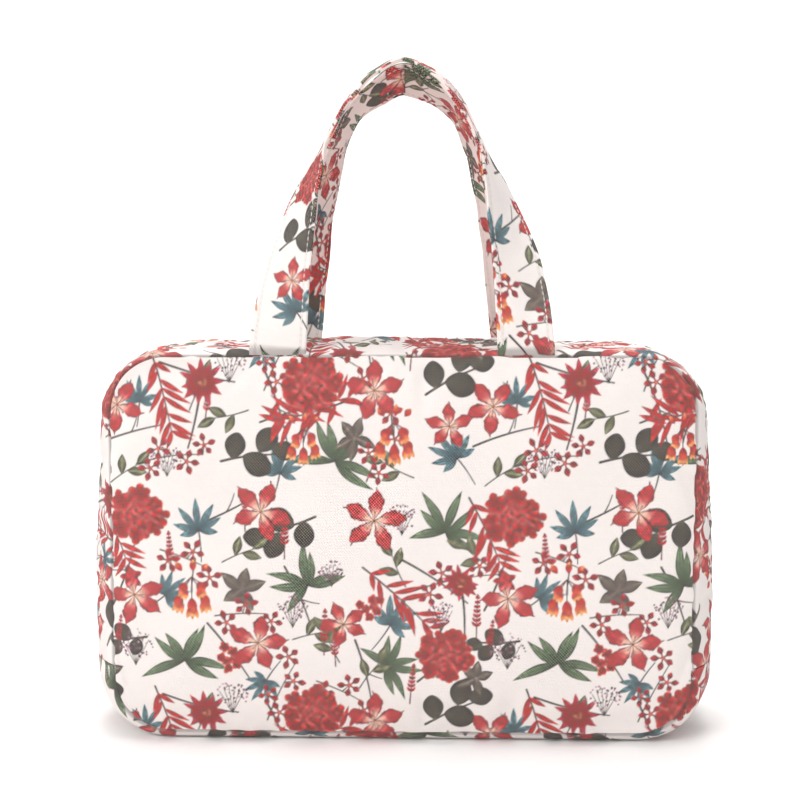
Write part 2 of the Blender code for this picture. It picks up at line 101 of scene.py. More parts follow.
GROUND = tone("FBF4F1")
CREAM = tone("F4D8C6")
BLUSH = tone("EDA9A0")
CRIMSON = tone("C9303F")
ROSE = tone("C93A58")
PINK = tone("DE7A93")
DARK_RED = tone("8E1C28")
RED = tone("C4262B")
WARM_RED = tone("D5453B")
CORAL = tone("E98C68")
PEACH = tone("F4C08E")
RUST = tone("A8603F")
TAUPE = tone("6E6A5E")
DARK_TAUPE = tone("504C42")
PALE_TAUPE = tone("B9B2A2")
PALE_GREEN = tone("B4C2A6")
DARK_GREEN = tone("45533E")
OLIVE = tone("7F7F63")
PALE_TEAL = tone("B4CCCE")
DARK_TEAL = tone("46616A")
BROWN = tone("7D706A")
PALE_BROWN = tone("C4B9AD")
STEM = tone("4B4641")
MAUVE = tone("A77F90")
PALE_MAUVE = tone("D4B4C0")

tile = np.empty((TILE_ROWS, TILE_COLS, 3))
tile[:] = GROUND
rng = np.random.RandomState(11)


def patch(x0, x1, y0, y1):
    """Rows, columns and centre coordinates in mm of the tile's cells in a window, which may wrap."""
    cols = np.arange(int(math.floor(x0 / CELL_MM)), int(math.ceil(x1 / CELL_MM)) + 1)
    rows = np.arange(int(math.floor(y0 / CELL_MM)), int(math.ceil(y1 / CELL_MM)) + 1)
    xs, ys = np.meshgrid((cols + 0.5) * CELL_MM, (rows + 0.5) * CELL_MM)
    return np.ix_(rows % TILE_ROWS, cols % TILE_COLS), xs, ys


def lay(where, cover, colour):
    block = tile[where]
    tile[where] = block + (colour - block) * cover[..., None]


def ends(x, y, angle, length):
    a = math.radians(angle)
    return x + length * math.cos(a), y - length * math.sin(a)


def leaf(x, y, angle, length, width, base, tip, edge=None, rib=None, bend=0.0, ruffle=0.0,
         widest=0.45, round_=1.0, vein=None, ramp=(0.0, 1.0), shade=0.75, alpha=1.0):
    """A leaf or petal from (x, y). Angles are anticlockwise from the right, in degrees."""
    x1, y1 = ends(x, y, angle, length)
    margin = width * 0.7 + abs(bend) * length + 0.6
    where, xs, ys = patch(min(x, x1) - margin, max(x, x1) + margin, min(y, y1) - margin, max(y, y1) + margin)
    a = math.radians(angle)
    dx, dy = xs - x, ys - y
    s = (dx * math.cos(a) - dy * math.sin(a)) / length
    t = dx * math.sin(a) + dy * math.cos(a) - bend * length * s * s
    inside = (s > 0.0) & (s < 1.0)
    along = np.clip(s, 1e-4, 1.0 - 1e-4)
    power = math.log(0.5) / math.log(widest)
    half = 0.5 * width * np.sin(math.pi * along**power) ** round_
    if ruffle:
        half = half * (1.0 + ruffle * np.sin(along * 19.0 + x) + ruffle * 0.6 * np.sin(along * 41.0 + y))
    cover = np.clip((half - np.abs(t)) / (1.3 * CELL_MM) + 0.5, 0.0, 1.0) * inside * alpha
    q = np.clip(np.abs(t) / np.maximum(half, 1e-3), 0.0, 1.0)
    f = np.clip((along - ramp[0]) / (ramp[1] - ramp[0]), 0.0, 1.0)
    f = (f * f * (3.0 - 2.0 * f))[..., None]
    colour = base + (tip - base) * f
    if vein is not None:
        stripes = 0.5 + 0.5 * np.cos((along * length * 0.8 - np.abs(t) * 1.1) * 5.2)
        colour = colour + (vein - colour) * (stripes**3 * 0.55 * (1.0 - q**4))[..., None]
    if edge is not None:
        rim = np.clip((q - 0.55) / 0.45, 0.0, 1.0) ** 1.6 * shade
        colour = colour + (edge - colour) * rim[..., None]
    if rib is not None:
        line_ = np.clip(1.0 - np.abs(t) / 0.34, 0.0, 1.0) * (along < 0.93)
        colour = colour + (rib - colour) * (line_ * 0.8)[..., None]
    lay(where, cover, colour)


def line(points, first, last, colour, alpha=1.0):
    """A stroke through the points, from the first width to the last."""
    p = np.array(points, float)
    m = max(first, last) + 0.5
    where, xs, ys = patch(p[:, 0].min() - m, p[:, 0].max() + m, p[:, 1].min() - m, p[:, 1].max() + m)
    best = np.zeros(xs.shape)
    count = len(p) - 1
    for i in range(count):
        a, b = p[i], p[i + 1]
        d = b - a
        g = np.clip(((xs - a[0]) * d[0] + (ys - a[1]) * d[1]) / max(1e-9, d @ d), 0.0, 1.0)
        away = np.hypot(xs - a[0] - g * d[0], ys - a[1] - g * d[1])
        half = 0.5 * (first + (last - first) * (i + g) / count)
        best = np.maximum(best, np.clip((half - away) / CELL_MM + 0.5, 0.0, 1.0))
    lay(where, best * alpha, colour)


def curve(x, y, angle, length, bend=0.0, steps=9):
    """Points of a bending stem."""
    a = math.radians(angle)
    out = []
    for i in range(steps + 1):
        s = i / steps
        t = bend * length * s * s
        out.append((x + length * s * math.cos(a) + t * math.sin(a), y - length * s * math.sin(a) + t
                    * math.cos(a)))
    return out


def disc(x, y, radius, colour, alpha=1.0):
    where, xs, ys = patch(x - radius - 0.5, x + radius + 0.5, y - radius - 0.5, y + radius + 0.5)
    lay(where, np.clip((radius - np.hypot(xs - x, ys - y)) / CELL_MM + 0.5, 0.0, 1.0) * alpha, colour)


def stem(x, y, angle, length, bend=0.0, width=0.8, colour=STEM):
    points = curve(x, y, angle, length, bend)
    line(points, width, width * 0.6, colour)
    return points


def twig(x, y, angle, length, bend=0.1, width=1.3):
    """A woody branch with a lit middle and a side shoot."""
    points = stem(x, y, angle, length, bend, width)
    line(points, width * 0.35, 0.15, PALE_TAUPE, 0.7)
    mx, my = points[5]
    stem(mx, my, angle + 38.0, length * 0.28, -0.15, width * 0.6)


def lily(x, y, angle, k=1.0):
    for i in range(5):
        turn = angle + 72.0 * i + rng.uniform(-8.0, 8.0)
        length = (15.4 + rng.uniform(-1.2, 1.6)) * k
        bend = rng.uniform(-0.10, 0.10)
        tx, ty = ends(x, y, turn, length * 0.97)
        line([ends(x, y, turn, length * 0.86), (tx, ty), ends(tx, ty, turn + 20.0, 1.6 * k)], 1.0, 0.4,
             DARK_RED, 0.9)
        leaf(x, y, turn, length, 8.2 * k, CREAM, CRIMSON, DARK_RED, bend=bend, ruffle=0.07, widest=0.60,
             vein=BLUSH, ramp=(0.18, 0.62), shade=0.62, round_=0.9)
        for side in (-11.0, 0.0, 11.0):
            line(curve(x, y, turn + side, length * 0.52, bend), 0.45, 0.15, CREAM, 0.55)
    disc(x, y, 1.7 * k, CREAM, 0.8)
    for i in range(7):
        turn = angle + 20.0 + 51.4 * i + rng.uniform(-9.0, 9.0)
        reach = rng.uniform(3.6, 6.2) * k
        line([(x, y), ends(x, y, turn, reach)], 0.42, 0.25, RUST, 0.85)
        ex, ey = ends(x, y, turn, reach)
        disc(ex, ey, 0.42, DARK_RED, 0.8)


def cluster(x, y, k=1.0, count=24):
    """A dense head of ruffled blossoms with pale gaps between the petals."""
    for i in range(count):
        r = 13.0 * k * math.sqrt((i + 0.4) / count) * rng.uniform(0.94, 1.06)
        a = i * 2.39996 + rng.uniform(-0.25, 0.25)
        bx, by = x + r * math.cos(a), y + r * math.sin(a) * 0.9
        start = rng.uniform(0.0, 72.0)
        for j in range(5):
            turn = start + 72.0 * j
            size = rng.uniform(3.6, 5.8) * k
            leaf(bx, by, turn, size + 0.45, 4.3 * k, CORAL, BLUSH, widest=0.66, round_=0.7, alpha=0.8)
            leaf(bx, by, turn, size, 3.9 * k, tone("A80F18"), tone("DE2B31"), tone("5C0A10"), widest=0.66,
                 round_=0.65, ruffle=0.10, shade=0.9)
        if i % 3 == 0:
            disc(bx, by, 0.7 * k, PEACH, 0.6)


def star(x, y, angle, k=1.0):
    """A small flower of five pointed petals on thin necks."""
    for i in range(5):
        turn = angle + 72.0 * i + rng.uniform(-6.0, 6.0)
        sx, sy = ends(x, y, turn, 1.9 * k)
        line([(x, y), ends(x, y, turn, 3.0 * k)], 0.8 * k, 0.6 * k, RED)
        leaf(sx, sy, turn, 4.7 * k * rng.uniform(0.85, 1.12), 3.0 * k, tone("B01F2B"), PINK, DARK_RED,
             widest=0.5,
             shade=0.7, ramp=(0.3, 1.0), vein=ROSE)
    disc(x, y, 0.9 * k, CRIMSON)
    disc(x, y, 0.4 * k, PEACH, 0.8)


def spray(x, y, angle, bend=0.15, count=5, gap=8.6, k=1.0):
    """Star flowers on both sides of a thin stem."""
    points = stem(x, y, angle, gap * count, bend, 0.7, OLIVE)
    for i in range(count):
        px, py = points[min(9, 1 + int(8 * i / max(1, count - 1)))]
        side = 1.0 if i % 2 else -1.0
        fx, fy = ends(px, py, angle + side * 62.0, 5.0 * k)
        line([(px, py), (fx, fy)], 0.6, 0.4, STEM)
        star(fx, fy, rng.uniform(0.0, 72.0), k * rng.uniform(0.88, 1.06))


def red_branch(x, y, angle, length=46.0, bend=0.08, k=1.0):
    """Narrow red leaves along a bending stem."""
    points = stem(x, y, angle, length, bend, 0.9, STEM)
    for i in range(1, 10):
        px, py = points[i]
        for side in (-1.0, 1.0):
            if (i + (side > 0)) % 4 == 3:
                continue
            turn = angle + side * rng.uniform(24.0, 52.0)
            reach = (8.0 + 8.0 * math.sin(math.pi * i / 10.0) + rng.uniform(-1.5, 2.5)) * k
            leaf(px, py, turn, reach, 2.7 * k, RED, WARM_RED, DARK_RED, bend=-side * rng.uniform(0.0, 0.16),
                 widest=0.42, shade=0.4, rib=tone("E8695A"))


def bells(x, y, k=1.0, turn=0.0):
    """Hanging flowers, red at the cap and peach at the mouth."""
    stem(x, y, 90.0 + turn, 15.0 * k, 0.12, 0.8, STEM)
    for ox, oy, lean, size in ((-6.0, 1.0, -16.0, 1.0), (0.0, 3.0, 2.0, 1.1), (6.0, 0.5, 15.0, 1.0),
                               (-3.2, -5.0, -24.0, 0.8), (3.6, -5.6, 26.0, 0.8)):
        bx, by = x + ox * k, y + oy * k
        line([(x, y - 8.0 * k), (bx, by)], 0.5, 0.5, DARK_RED)
        for flare in (-22.0, 0.0, 22.0):
            leaf(bx, by + 3.4 * k, -90.0 + lean + flare, 7.2 * size * k, 2.9 * k, WARM_RED, PEACH, CORAL,
                 widest=0.5, shade=0.5, ramp=(0.15, 0.8))
        leaf(bx, by, -90.0 + lean, 7.6 * size * k, 5.0 * k, RED, CORAL, DARK_RED, widest=0.5, round_=0.7,
             shade=0.4)
    for ox, size in ((-5.0, 0.9), (5.4, 0.8), (0.6, 1.0)):
        leaf(x + ox * k, y - 11.0 * k, 90.0 - ox * 7.0, 6.4 * size * k, 3.4 * k, RED, PEACH, WARM_RED,
             widest=0.5, shade=0.5)


def round_leaf(x, y, angle, k=1.0, wide=0.78):
    leaf(x, y, angle, 17.0 * k, 17.0 * wide * k, TAUPE, DARK_TAUPE, tone("46433A"), rib=tone("8A8475"),
         widest=0.52, round_=0.62,
         vein=tone("857F70"), shade=0.7)


def round_leaves(x, y, angle, k=1.0):
    """Broad grey leaves on a twig."""
    twig(x, y, angle, 34.0 * k, 0.16, 1.2)
    for dist, side, size in ((6.0, 62.0, 0.8), (12.0, -48.0, 0.95), (20.0, 40.0, 0.85), (27.0, -28.0, 0.75)):
        px, py = ends(x, y, angle, dist * k)
        round_leaf(px, py, angle + side, size * k)


def straps(x, y, angle, k=1.0, count=7):
    """A rosette of long bending green leaves."""
    for i in range(count):
        turn = angle + (i - (count - 1) / 2.0) * 252.0 / count + rng.uniform(-8.0, 8.0)
        reach = rng.uniform(17.0, 25.0) * k
        bend = rng.uniform(0.10, 0.30) * (1.0 if i % 2 else -1.0)
        leaf(x, y, turn, reach, 4.8 * k, tone("5E7358"), tone("A3B496"), DARK_GREEN, rib=tone("33402E"),
             bend=bend,
             widest=0.45, shade=0.85, vein=PALE_GREEN)


def palmate(x, y, angle, k=1.0, count=7):
    """Teal leaflets spread like a hand."""
    stem(x, y, angle + 180.0, 16.0 * k, 0.1, 0.7, DARK_TEAL)
    for i in range(count):
        f = i / (count - 1.0)
        turn = angle - 96.0 + 192.0 * f + rng.uniform(-5.0, 5.0)
        reach = (10.0 + 7.0 * math.sin(math.pi * f)) * k
        leaf(x, y, turn, reach, 3.6 * k, tone("557880"), tone("9DBBBF"), DARK_TEAL, rib=tone("33505A"),
             widest=0.5,
             vein=PALE_TEAL, shade=0.6, bend=0.05)


def brown_leaves(x, y, angle, k=1.0):
    for i in range(5):
        turn = angle + 68.0 * i + rng.uniform(-10.0, 10.0)
        leaf(x, y, turn, rng.uniform(11.0, 14.0) * k, 6.2 * k, BROWN, tone("8F8478"), tone("574E48"),
             rib=PALE_BROWN, widest=0.46, shade=0.75, bend=rng.uniform(-0.12, 0.12), vein=tone("A79C8F"))


def mist(x, y, k=1.0):
    """A cloud of tiny dots on hair-thin stalks."""
    for i in range(6):
        line([(x, y + 9.0 * k), ends(x, y + 4.0 * k, 50.0 + 16.0 * i, 11.0 * k)], 0.35, 0.22, STEM, 0.6)
    for i in range(58):
        r = 9.5 * k * math.sqrt(rng.uniform(0.0, 1.0))
        a = rng.uniform(0.0, 6.283)
        colour = (MAUVE, PALE_MAUVE, tone("8D6A7B"))[i % 3]
        disc(x + r * math.cos(a), y - 2.0 + 0.85 * r * math.sin(a), rng.uniform(0.32, 0.62), colour, 0.85)


def fern(x, y, angle=90.0, k=1.0):
    """A red spike with rising barbs."""
    points = stem(x, y, angle, 22.0 * k, 0.03, 0.6, DARK_RED)
    for i in range(3, 10):
        px, py = points[i]
        reach = (4.8 - 0.36 * i) * k
        for side in (-1.0, 1.0):
            leaf(px, py, angle + side * 42.0, reach, 1.5 * k, RED, ROSE, widest=0.5)
    px, py = points[9]
    leaf(px, py, angle, 2.6 * k, 1.4 * k, RED, ROSE)


def aster(x, y, angle, k=1.0):
    """A spiky flower with many narrow petals, on a long dark stem."""
    stem(x, y, angle, 34.0 * k, 0.10, 1.2, STEM)
    for ring, reach in ((0.0, 11.5), (13.0, 8.4)):
        for i in range(11):
            turn = ring + i * 360.0 / 11.0 + rng.uniform(-7.0, 7.0)
            leaf(x, y, turn, reach * k * rng.uniform(0.86, 1.1), 3.2 * k, tone("AE2437"),
                 PINK if ring == 0.0 else ROSE, DARK_RED, widest=0.5, shade=0.5, ramp=(0.35, 1.0))
    for i in range(9):
        disc(x + rng.uniform(-2.2, 2.2), y + rng.uniform(-2.2, 2.2), 0.45, PEACH, 0.8)


def sprig(x, y, angle, k=1.0):
    """A pair of olive leaves on a thin stem."""
    points = stem(x, y, angle, 17.0 * k, 0.12, 0.6, DARK_GREEN)
    for i, side in ((4, 46.0), (6, -44.0), (9, 8.0)):
        px, py = points[i]
        leaf(px, py, angle + side, 10.5 * k, 4.6 * k, OLIVE, tone("9FA083"), DARK_GREEN,
             rib=tone("C9CBB0"), widest=0.48, shade=0.75)


def paint_tile():
    """One repeat of the print. Places are in mm from its upper left corner."""
    for x, y, angle, length, bend in ((28, 36, -28, 40, 0.10), (70, 62, 62, 34, -0.12),
                                      (120, 70, -48, 36, 0.1), (160, 40, -60, 34, 0.12),
                                      (36, 100, 40, 36, 0.1), (96, 108, -20, 40, -0.1),
                                      (150, 112, -64, 38, 0.14), (64, 150, 24, 34, 0.12),
                                      (112, 20, 20, 36, -0.1), (4, 78, -70, 32, 0.1)):
        twig(x, y, angle, length, bend, 1.05)
    for args in ((50, 22, 70), (172, 50, 110), (108, 90, 80), (186, 158, 60), (20, 92, 20, 0.85)):
        straps(*args)
    for args in ((116, 22, 100), (22, 70, 60), (56, 156, 130), (98, 56, 40, 0.85), (158, 164, 80, 0.9),
                 (150, 100, 240, 0.8), (86, 128, 90, 0.8)):
        palmate(*args)
    for args in ((176, 14, 205), (40, 124, 35), (128, 158, 15), (88, 78, 190, 0.7)):
        round_leaves(*args)
    for args in ((138, 52, 20), (4, 146, 60, 0.9), (66, 98, 10, 0.8)):
        brown_leaves(*args)
    for args in ((30, 50, 120), (128, 38, 30), (6, 104, 60), (74, 40, 150), (164, 78, 20), (112, 132, 70),
                 (70, 170, 40), (188, 90, 120), (34, 166, 160), (142, 132, 200)):
        sprig(*args)
    for args in ((8, 40, -38), (92, 104, -70, 40.0), (148, 138, 20), (62, 4, -60, 36.0),
                 (190, 128, 200, 34.0)):
        red_branch(*args)
    for args in ((82, 84, 1.0), (132, 110, 0.9), (28, 16, 0.8), (164, 64, 0.85), (100, 158, 0.9),
                 (48, 66, 0.8), (184, 44, 0.7)):
        mist(*args)
    for args in ((34, 52, 20, 0.15, 5), (84, 160, 20, 0.2, 4), (150, 122, 70, 0.1, 4),
                 (10, 168, 70, 0.12, 4), (124, 66, 10, 0.12, 3), (176, 100, -20, 0.1, 3),
                 (96, 32, -15, 0.1, 3)):
        spray(*args)
    for args in ((66, 78), (72, 86, 84.0, 0.8), (102, 44, 96.0, 0.9), (160, 36), (32, 112, 86.0, 0.9),
                 (180, 86), (186, 92, 94.0, 0.8), (120, 138, 84.0, 0.8), (44, 92, 95.0, 0.8),
                 (140, 22, 92.0, 0.8)):
        fern(*args)
    bells(112, 54)
    bells(24, 146, 1.0, 12.0)
    bells(170, 148, 0.85, -14.0)
    aster(118, 118, -96.0)
    aster(58, 48, -80.0, 0.8)
    cluster(84, 14)
    cluster(50, 86, 0.95)
    cluster(174, 118, 1.0)
    cluster(132, 88, 0.55, 8)
    cluster(12, 60, 0.5, 7)
    for args in ((14, 16, 12), (148, 12, -8), (82, 56, 30, 0.94), (146, 80, 5), (14, 122, 25),
                 (74, 130, -20, 0.9), (52, 140, 15, 0.75), (190, 70, 40, 0.8)):
        lily(*args)


paint_tile()


def mottled(values):
    """Watercolour unevenness over the whole repeat: soft blots that darken and lighten the ink."""
    u, v = np.meshgrid((np.arange(TILE_COLS) + 0.5) / TILE_COLS, (np.arange(TILE_ROWS) + 0.5) / TILE_ROWS)
    source = np.random.RandomState(5)
    blots = np.zeros(u.shape)
    for _ in range(34):
        m, k = source.randint(14, 72), source.randint(12, 64)
        turn = 1.0 if source.uniform() < 0.5 else -1.0
        blots += np.sin(2.0 * math.pi * (m * u + turn * k * v) + source.uniform(0.0, 6.283))
    blots = (blots / math.sqrt(34.0))[..., None]
    ink = np.clip((GROUND.mean() - values.mean(-1)) / 0.30, 0.0, 1.0)[..., None]
    return np.clip(values * (1.0 + 0.085 * blots * ink), 0.0, 1.0)


# The cloth's own warm white takes a little off every ink.
CLOTH_WHITE = np.array((0.955, 0.94, 0.935))
# Inks are denser than the paint box's colours, and a printed edge is crisp.
INK_DENSITY = 1.55
EDGE_CRISPNESS = 0.75


def crisp(values):
    """The print with its edges strengthened over about a millimetre."""
    soft = values
    for axis in (0, 1):
        soft = sum(np.roll(soft, k, axis) * w for k, w in ((-3, 0.2), (-1, 0.2), (0, 0.2), (1, 0.2),
                                                           (3, 0.2)))
    return np.clip(values + EDGE_CRISPNESS * (values - soft), 0.012, 1.0)


tile = mottled(tile)
PRINT = np.where(tile <= 0.04045, tile / 12.92, ((tile + 0.055) / 1.055) ** 2.4)
PAPER = np.where(GROUND <= 0.04045, GROUND / 12.92, ((GROUND + 0.055) / 1.055) ** 2.4)
PRINT = PAPER * np.minimum(PRINT / PAPER, 1.0) ** INK_DENSITY
PRINT = (np.minimum(crisp(PRINT), PAPER) * CLOTH_WHITE).astype(np.float32)


def printed(u, v):
    """Colour of the print at the cloth coordinates in metres, averaged over half a millimetre."""
    total = 0.0
    for ox, oy in ((-0.12, -0.12), (0.12, -0.12), (-0.12, 0.12), (0.12, 0.12)):
        c = (u * 1000.0 + ox) / CELL_MM
        r = (v * 1000.0 + oy) / CELL_MM
        c0, r0 = np.floor(c), np.floor(r)
        fc, fr = (c - c0)[..., None], (r - r0)[..., None]
        c0, r0 = c0.astype(int) % TILE_COLS, r0.astype(int) % TILE_ROWS
        c1, r1 = (c0 + 1) % TILE_COLS, (r0 + 1) % TILE_ROWS
        upper = PRINT[r0, c0] * (1.0 - fc) + PRINT[r0, c1] * fc
        lower = PRINT[r1, c0] * (1.0 - fc) + PRINT[r1, c1] * fc
        total = total + upper * (1.0 - fr) + lower * fr
    return (total / 4.0).astype(np.float32)


# ---------------------------------------------------------------- surfaces of the body
def outline(y, inset=0.0):
    """Half width, bottom, top and corner radius of the bag at the depth y."""
    t = np.minimum(1.0, np.abs(y) / HALF_DEPTH)
    swell = 1.0 - t**SIDE_SWELL_POWER
    low = np.clip((t - BASE_FLAT) / (1.0 - BASE_FLAT), 0.0, 1.0)
    far = np.clip((t - CREST_AT) / (1.0 - CREST_AT), 0.0, 1.0)
    near = np.clip(t / CREST_AT, 0.0, 1.0)
    valley = TOP_VALLEY + (TOP_CREST - TOP_VALLEY) * near * near * (3.0 - 2.0 * near)
    crest = np.where(t >= CREST_AT, TOP_CREST * (1.0 - far * far), valley)
    width = SEAM_HALF_WIDTH + SIDE_SWELL * swell - inset
    radius = SEAM_RADIUS + RADIUS_GROWTH * swell - inset
    return width, SEAM_BOTTOM * low * low + inset, SEAM_TOP + crest - inset, radius


def smooth(value, low, high):
    f = np.clip((value - low) / (high - low), 0.0, 1.0)
    return f * f * (3.0 - 2.0 * f)


def ease(x, z, y):
    """How far the upper corners, and the top outside the handles, are drawn in along X and along Z."""
    t = np.minimum(1.0, np.abs(y) / HALF_DEPTH)
    swell = 1.0 - t**SIDE_SWELL_POWER
    across = SIDE_EASE * swell * smooth(z, *SIDE_EASE_HEIGHT) * smooth(np.abs(x), *SIDE_EASE_WIDTH)
    far = np.clip((t - CREST_AT) / (1.0 - CREST_AT), 0.0, 1.0)
    level = TOP_VALLEY * (1.0 - far * far)
    rise = outline(y)[2] - SEAM_TOP
    down = (rise - level) * smooth(z, *TOP_EASE_HEIGHT) * smooth(np.abs(x), *TOP_EASE_WIDTH)
    return np.sign(x) * across, down


def loop_point(ell, y, inset=0.0):
    """x, z and the outward direction on the outline. ell is 0 to 1 up the left side, 1 to 2 over the
    top with its corners, 2 to 3 down the right side and 3 to 4 back along the bottom."""
    w, b, t, r = outline(y, inset)
    ell = np.mod(ell, 4.0)
    half = np.where(ell >= 2.0, -1.0, 1.0)
    e = np.where(ell >= 2.0, ell - 2.0, ell)
    rise = t - b - 2.0 * r
    run = math.pi * r + 2.0 * (w - r)
    side = np.minimum(e, 1.0)
    s = np.clip(e - 1.0, 0.0, 1.0) * run
    quarter = math.pi * r / 2.0
    first = np.minimum(s, quarter) / r
    last = np.maximum(s - (run - quarter), 0.0) / r
    turn = first + last
    x = -w + r * (1.0 - np.cos(first)) + np.clip(s - quarter, 0.0, run - 2.0 * quarter) + r * np.sin(last)
    z = b + r + side * rise + r * np.sin(first) - r * (1.0 - np.cos(last))
    x, z = half * x, np.where(half > 0.0, z, b + t - z)
    nx, nz = -half * np.cos(turn), half * np.sin(turn)
    across, down = ease(x + nx * inset, z + nz * inset, y)
    return x - across, z - down, nx, nz


def edge_distance(x, z, inset=0.0):
    """How far a point of a panel lies inside its seam."""
    r = SEAM_RADIUS - inset
    qx = np.abs(x) - (SEAM_HALF_WIDTH - inset - r)
    qz = np.abs(z - MIDDLE_Z) - (HALF_HEIGHT - inset - r)
    outside = np.hypot(np.maximum(qx, 0.0), np.maximum(qz, 0.0))
    return np.maximum(0.0, r - outside - np.minimum(np.maximum(qx, qz), 0.0))


def panel_swell(x, z):
    k = ((np.abs(x) / SEAM_HALF_WIDTH) ** 8 + (np.abs(z - MIDDLE_Z) / HALF_HEIGHT) ** 8) ** 0.125
    return PANEL_SWELL * (1.0 - np.minimum(k, 1.0) ** 2.2)


def roll(distance, depth, radius):
    """How far fabric turns in near its seam."""
    return depth * (1.0 - np.sqrt(1.0 - np.clip(1.0 - distance / radius, 0.0, 1.0) ** 2))


def waves(u, v, seed, shortest, longest, count=9):
    """A smooth irregular field, about -1 to 1, from waves of the given lengths."""
    source = np.random.RandomState(seed)
    total = 0.0
    for _ in range(count):
        length = shortest * (longest / shortest) ** source.uniform(0.0, 1.0)
        a = source.uniform(0.0, 2.0 * math.pi)
        phase = source.uniform(0.0, 2.0 * math.pi)
        total = total + np.sin(2.0 * math.pi * (u * math.cos(a) + v * math.sin(a)) / length + phase)
    return total / math.sqrt(count)


# ---------------------------------------------------------------- cloth simulation of the outer skin
COARSE_COLS = 61
COARSE_ROWS = 31
COARSE_DEPTHS = 19
PANEL_LIMIT = (-0.0006, 0.0030)
RING_LIMIT = (-0.0006, 0.0016)


def panel_grid(c, f, inset=0.0):
    """x and z of a panel's points. c runs left to right along the top seam and f bottom to top."""
    x, top, _, _ = loop_point(1.0 + c, HALF_DEPTH, inset)
    bottom = 2.0 * MIDDLE_Z - top
    return x + 0.0 * f, bottom + (top - bottom) * f


def coarse_skin():
    """Points and faces of the closed skin, and which points its seams, base and zip hold."""
    ells = np.concatenate([
        np.linspace(0.0, 1.0, COARSE_ROWS)[:-1], 1.0 + np.linspace(0.0, 1.0, COARSE_COLS)[:-1],
        2.0 + np.linspace(0.0, 1.0, COARSE_ROWS)[:-1], 3.0 + np.linspace(0.0, 1.0, COARSE_COLS)[:-1],
    ])
    ys = np.linspace(-HALF_DEPTH, HALF_DEPTH, COARSE_DEPTHS)
    el, yy = np.meshgrid(ells, ys)
    x, z, nx, nz = loop_point(el, yy)
    points = [np.stack([x, yy, z], -1).reshape(-1, 3)]
    normals = [np.stack([nx, 0.0 * nx, nz], -1).reshape(-1, 3)]
    seams = np.abs(np.abs(yy) - HALF_DEPTH) < 1e-6
    zip_line = np.abs(yy) < 0.004
    resting = (z < 0.0015) & (np.abs(yy) < 0.042)
    held = [(seams | zip_line | resting).ravel()]
    count = len(ells)
    faces = []
    for i in range(COARSE_DEPTHS - 1):
        for j in range(count):
            k = (j + 1) % count
            faces.append((i * count + j, i * count + k, (i + 1) * count + k, (i + 1) * count + j))
    total = COARSE_DEPTHS * count
    for side, ring in ((-1.0, 0), (1.0, COARSE_DEPTHS - 1)):
        c, f = np.meshgrid(np.linspace(0.0, 1.0, COARSE_COLS), np.linspace(0.0, 1.0, COARSE_ROWS))
        x, z = panel_grid(c, f)
        y = side * (HALF_DEPTH + panel_swell(x, z))
        index = np.empty((COARSE_ROWS, COARSE_COLS), int)
        rows, cols = COARSE_ROWS - 1, COARSE_COLS - 1
        for i in range(COARSE_ROWS):
            for j in range(COARSE_COLS):
                if j == 0:
                    index[i, j] = ring * count + i
                elif i == rows:
                    index[i, j] = ring * count + rows + j
                elif j == cols:
                    index[i, j] = ring * count + rows + cols + rows - i
                elif i == 0:
                    index[i, j] = ring * count + (2 * rows + cols + cols - j) % count
                else:
                    index[i, j] = total + (i - 1) * (COARSE_COLS - 2) + j - 1
        points.append(np.stack([x, y, z], -1)[1:-1, 1:-1].reshape(-1, 3))
        normals.append(np.tile((0.0, side, 0.0), ((COARSE_ROWS - 2) * (COARSE_COLS - 2), 1)))
        held.append(np.zeros((COARSE_ROWS - 2) * (COARSE_COLS - 2), bool))
        total += (COARSE_ROWS - 2) * (COARSE_COLS - 2)
        for i in range(rows):
            for j in range(cols):
                quad = (index[i, j], index[i, j + 1], index[i + 1, j + 1], index[i + 1, j])
                faces.append(quad if side < 0.0 else quad[::-1])
    return np.concatenate(points), np.concatenate(normals), np.concatenate(held), faces, count


def simulate_skin():
    """Outward travel of the coarse skin's points under a gentle pressure: panels, then the ring."""
    points, normals, held, faces, count = coarse_skin()
    mesh = bpy.data.meshes.new("skin")
    mesh.from_pydata(points.tolist(), [], [tuple(int(i) for i in f) for f in faces])
    skin = bpy.data.objects.new("skin", mesh)
    bpy.context.scene.collection.objects.link(skin)
    pins = skin.vertex_groups.new(name="held")
    pins.add([int(i) for i in np.nonzero(held)[0]], 1.0, "REPLACE")
    cloth = skin.modifiers.new("Cloth", "CLOTH")
    cloth.settings.quality = 6
    cloth.settings.mass = 0.25
    cloth.settings.tension_stiffness = 12.0
    cloth.settings.compression_stiffness = 12.0
    cloth.settings.shear_stiffness = 4.0
    cloth.settings.bending_stiffness = 0.15
    cloth.settings.shrink_min = -0.012
    cloth.settings.use_pressure = True
    cloth.settings.uniform_pressure_force = 4.0
    cloth.settings.vertex_group_mass = "held"
    cloth.settings.effector_weights.gravity = 0.0
    cloth.collision_settings.use_collision = False
    cloth.point_cache.frame_start = 1
    cloth.point_cache.frame_end = 20
    scene = bpy.context.scene
    for number in range(1, 21):
        scene.frame_set(number)
    evaluated = skin.evaluated_get(bpy.context.evaluated_depsgraph_get())
    moved = np.empty(len(points) * 3, np.float32)
    evaluated.data.vertices.foreach_get("co", moved)
    travel = ((moved.reshape(-1, 3) - points) * normals).sum(1)
    scene.frame_set(1)
    bpy.data.objects.remove(skin, do_unlink=True)
    bpy.data.meshes.remove(mesh)
    return travel, count


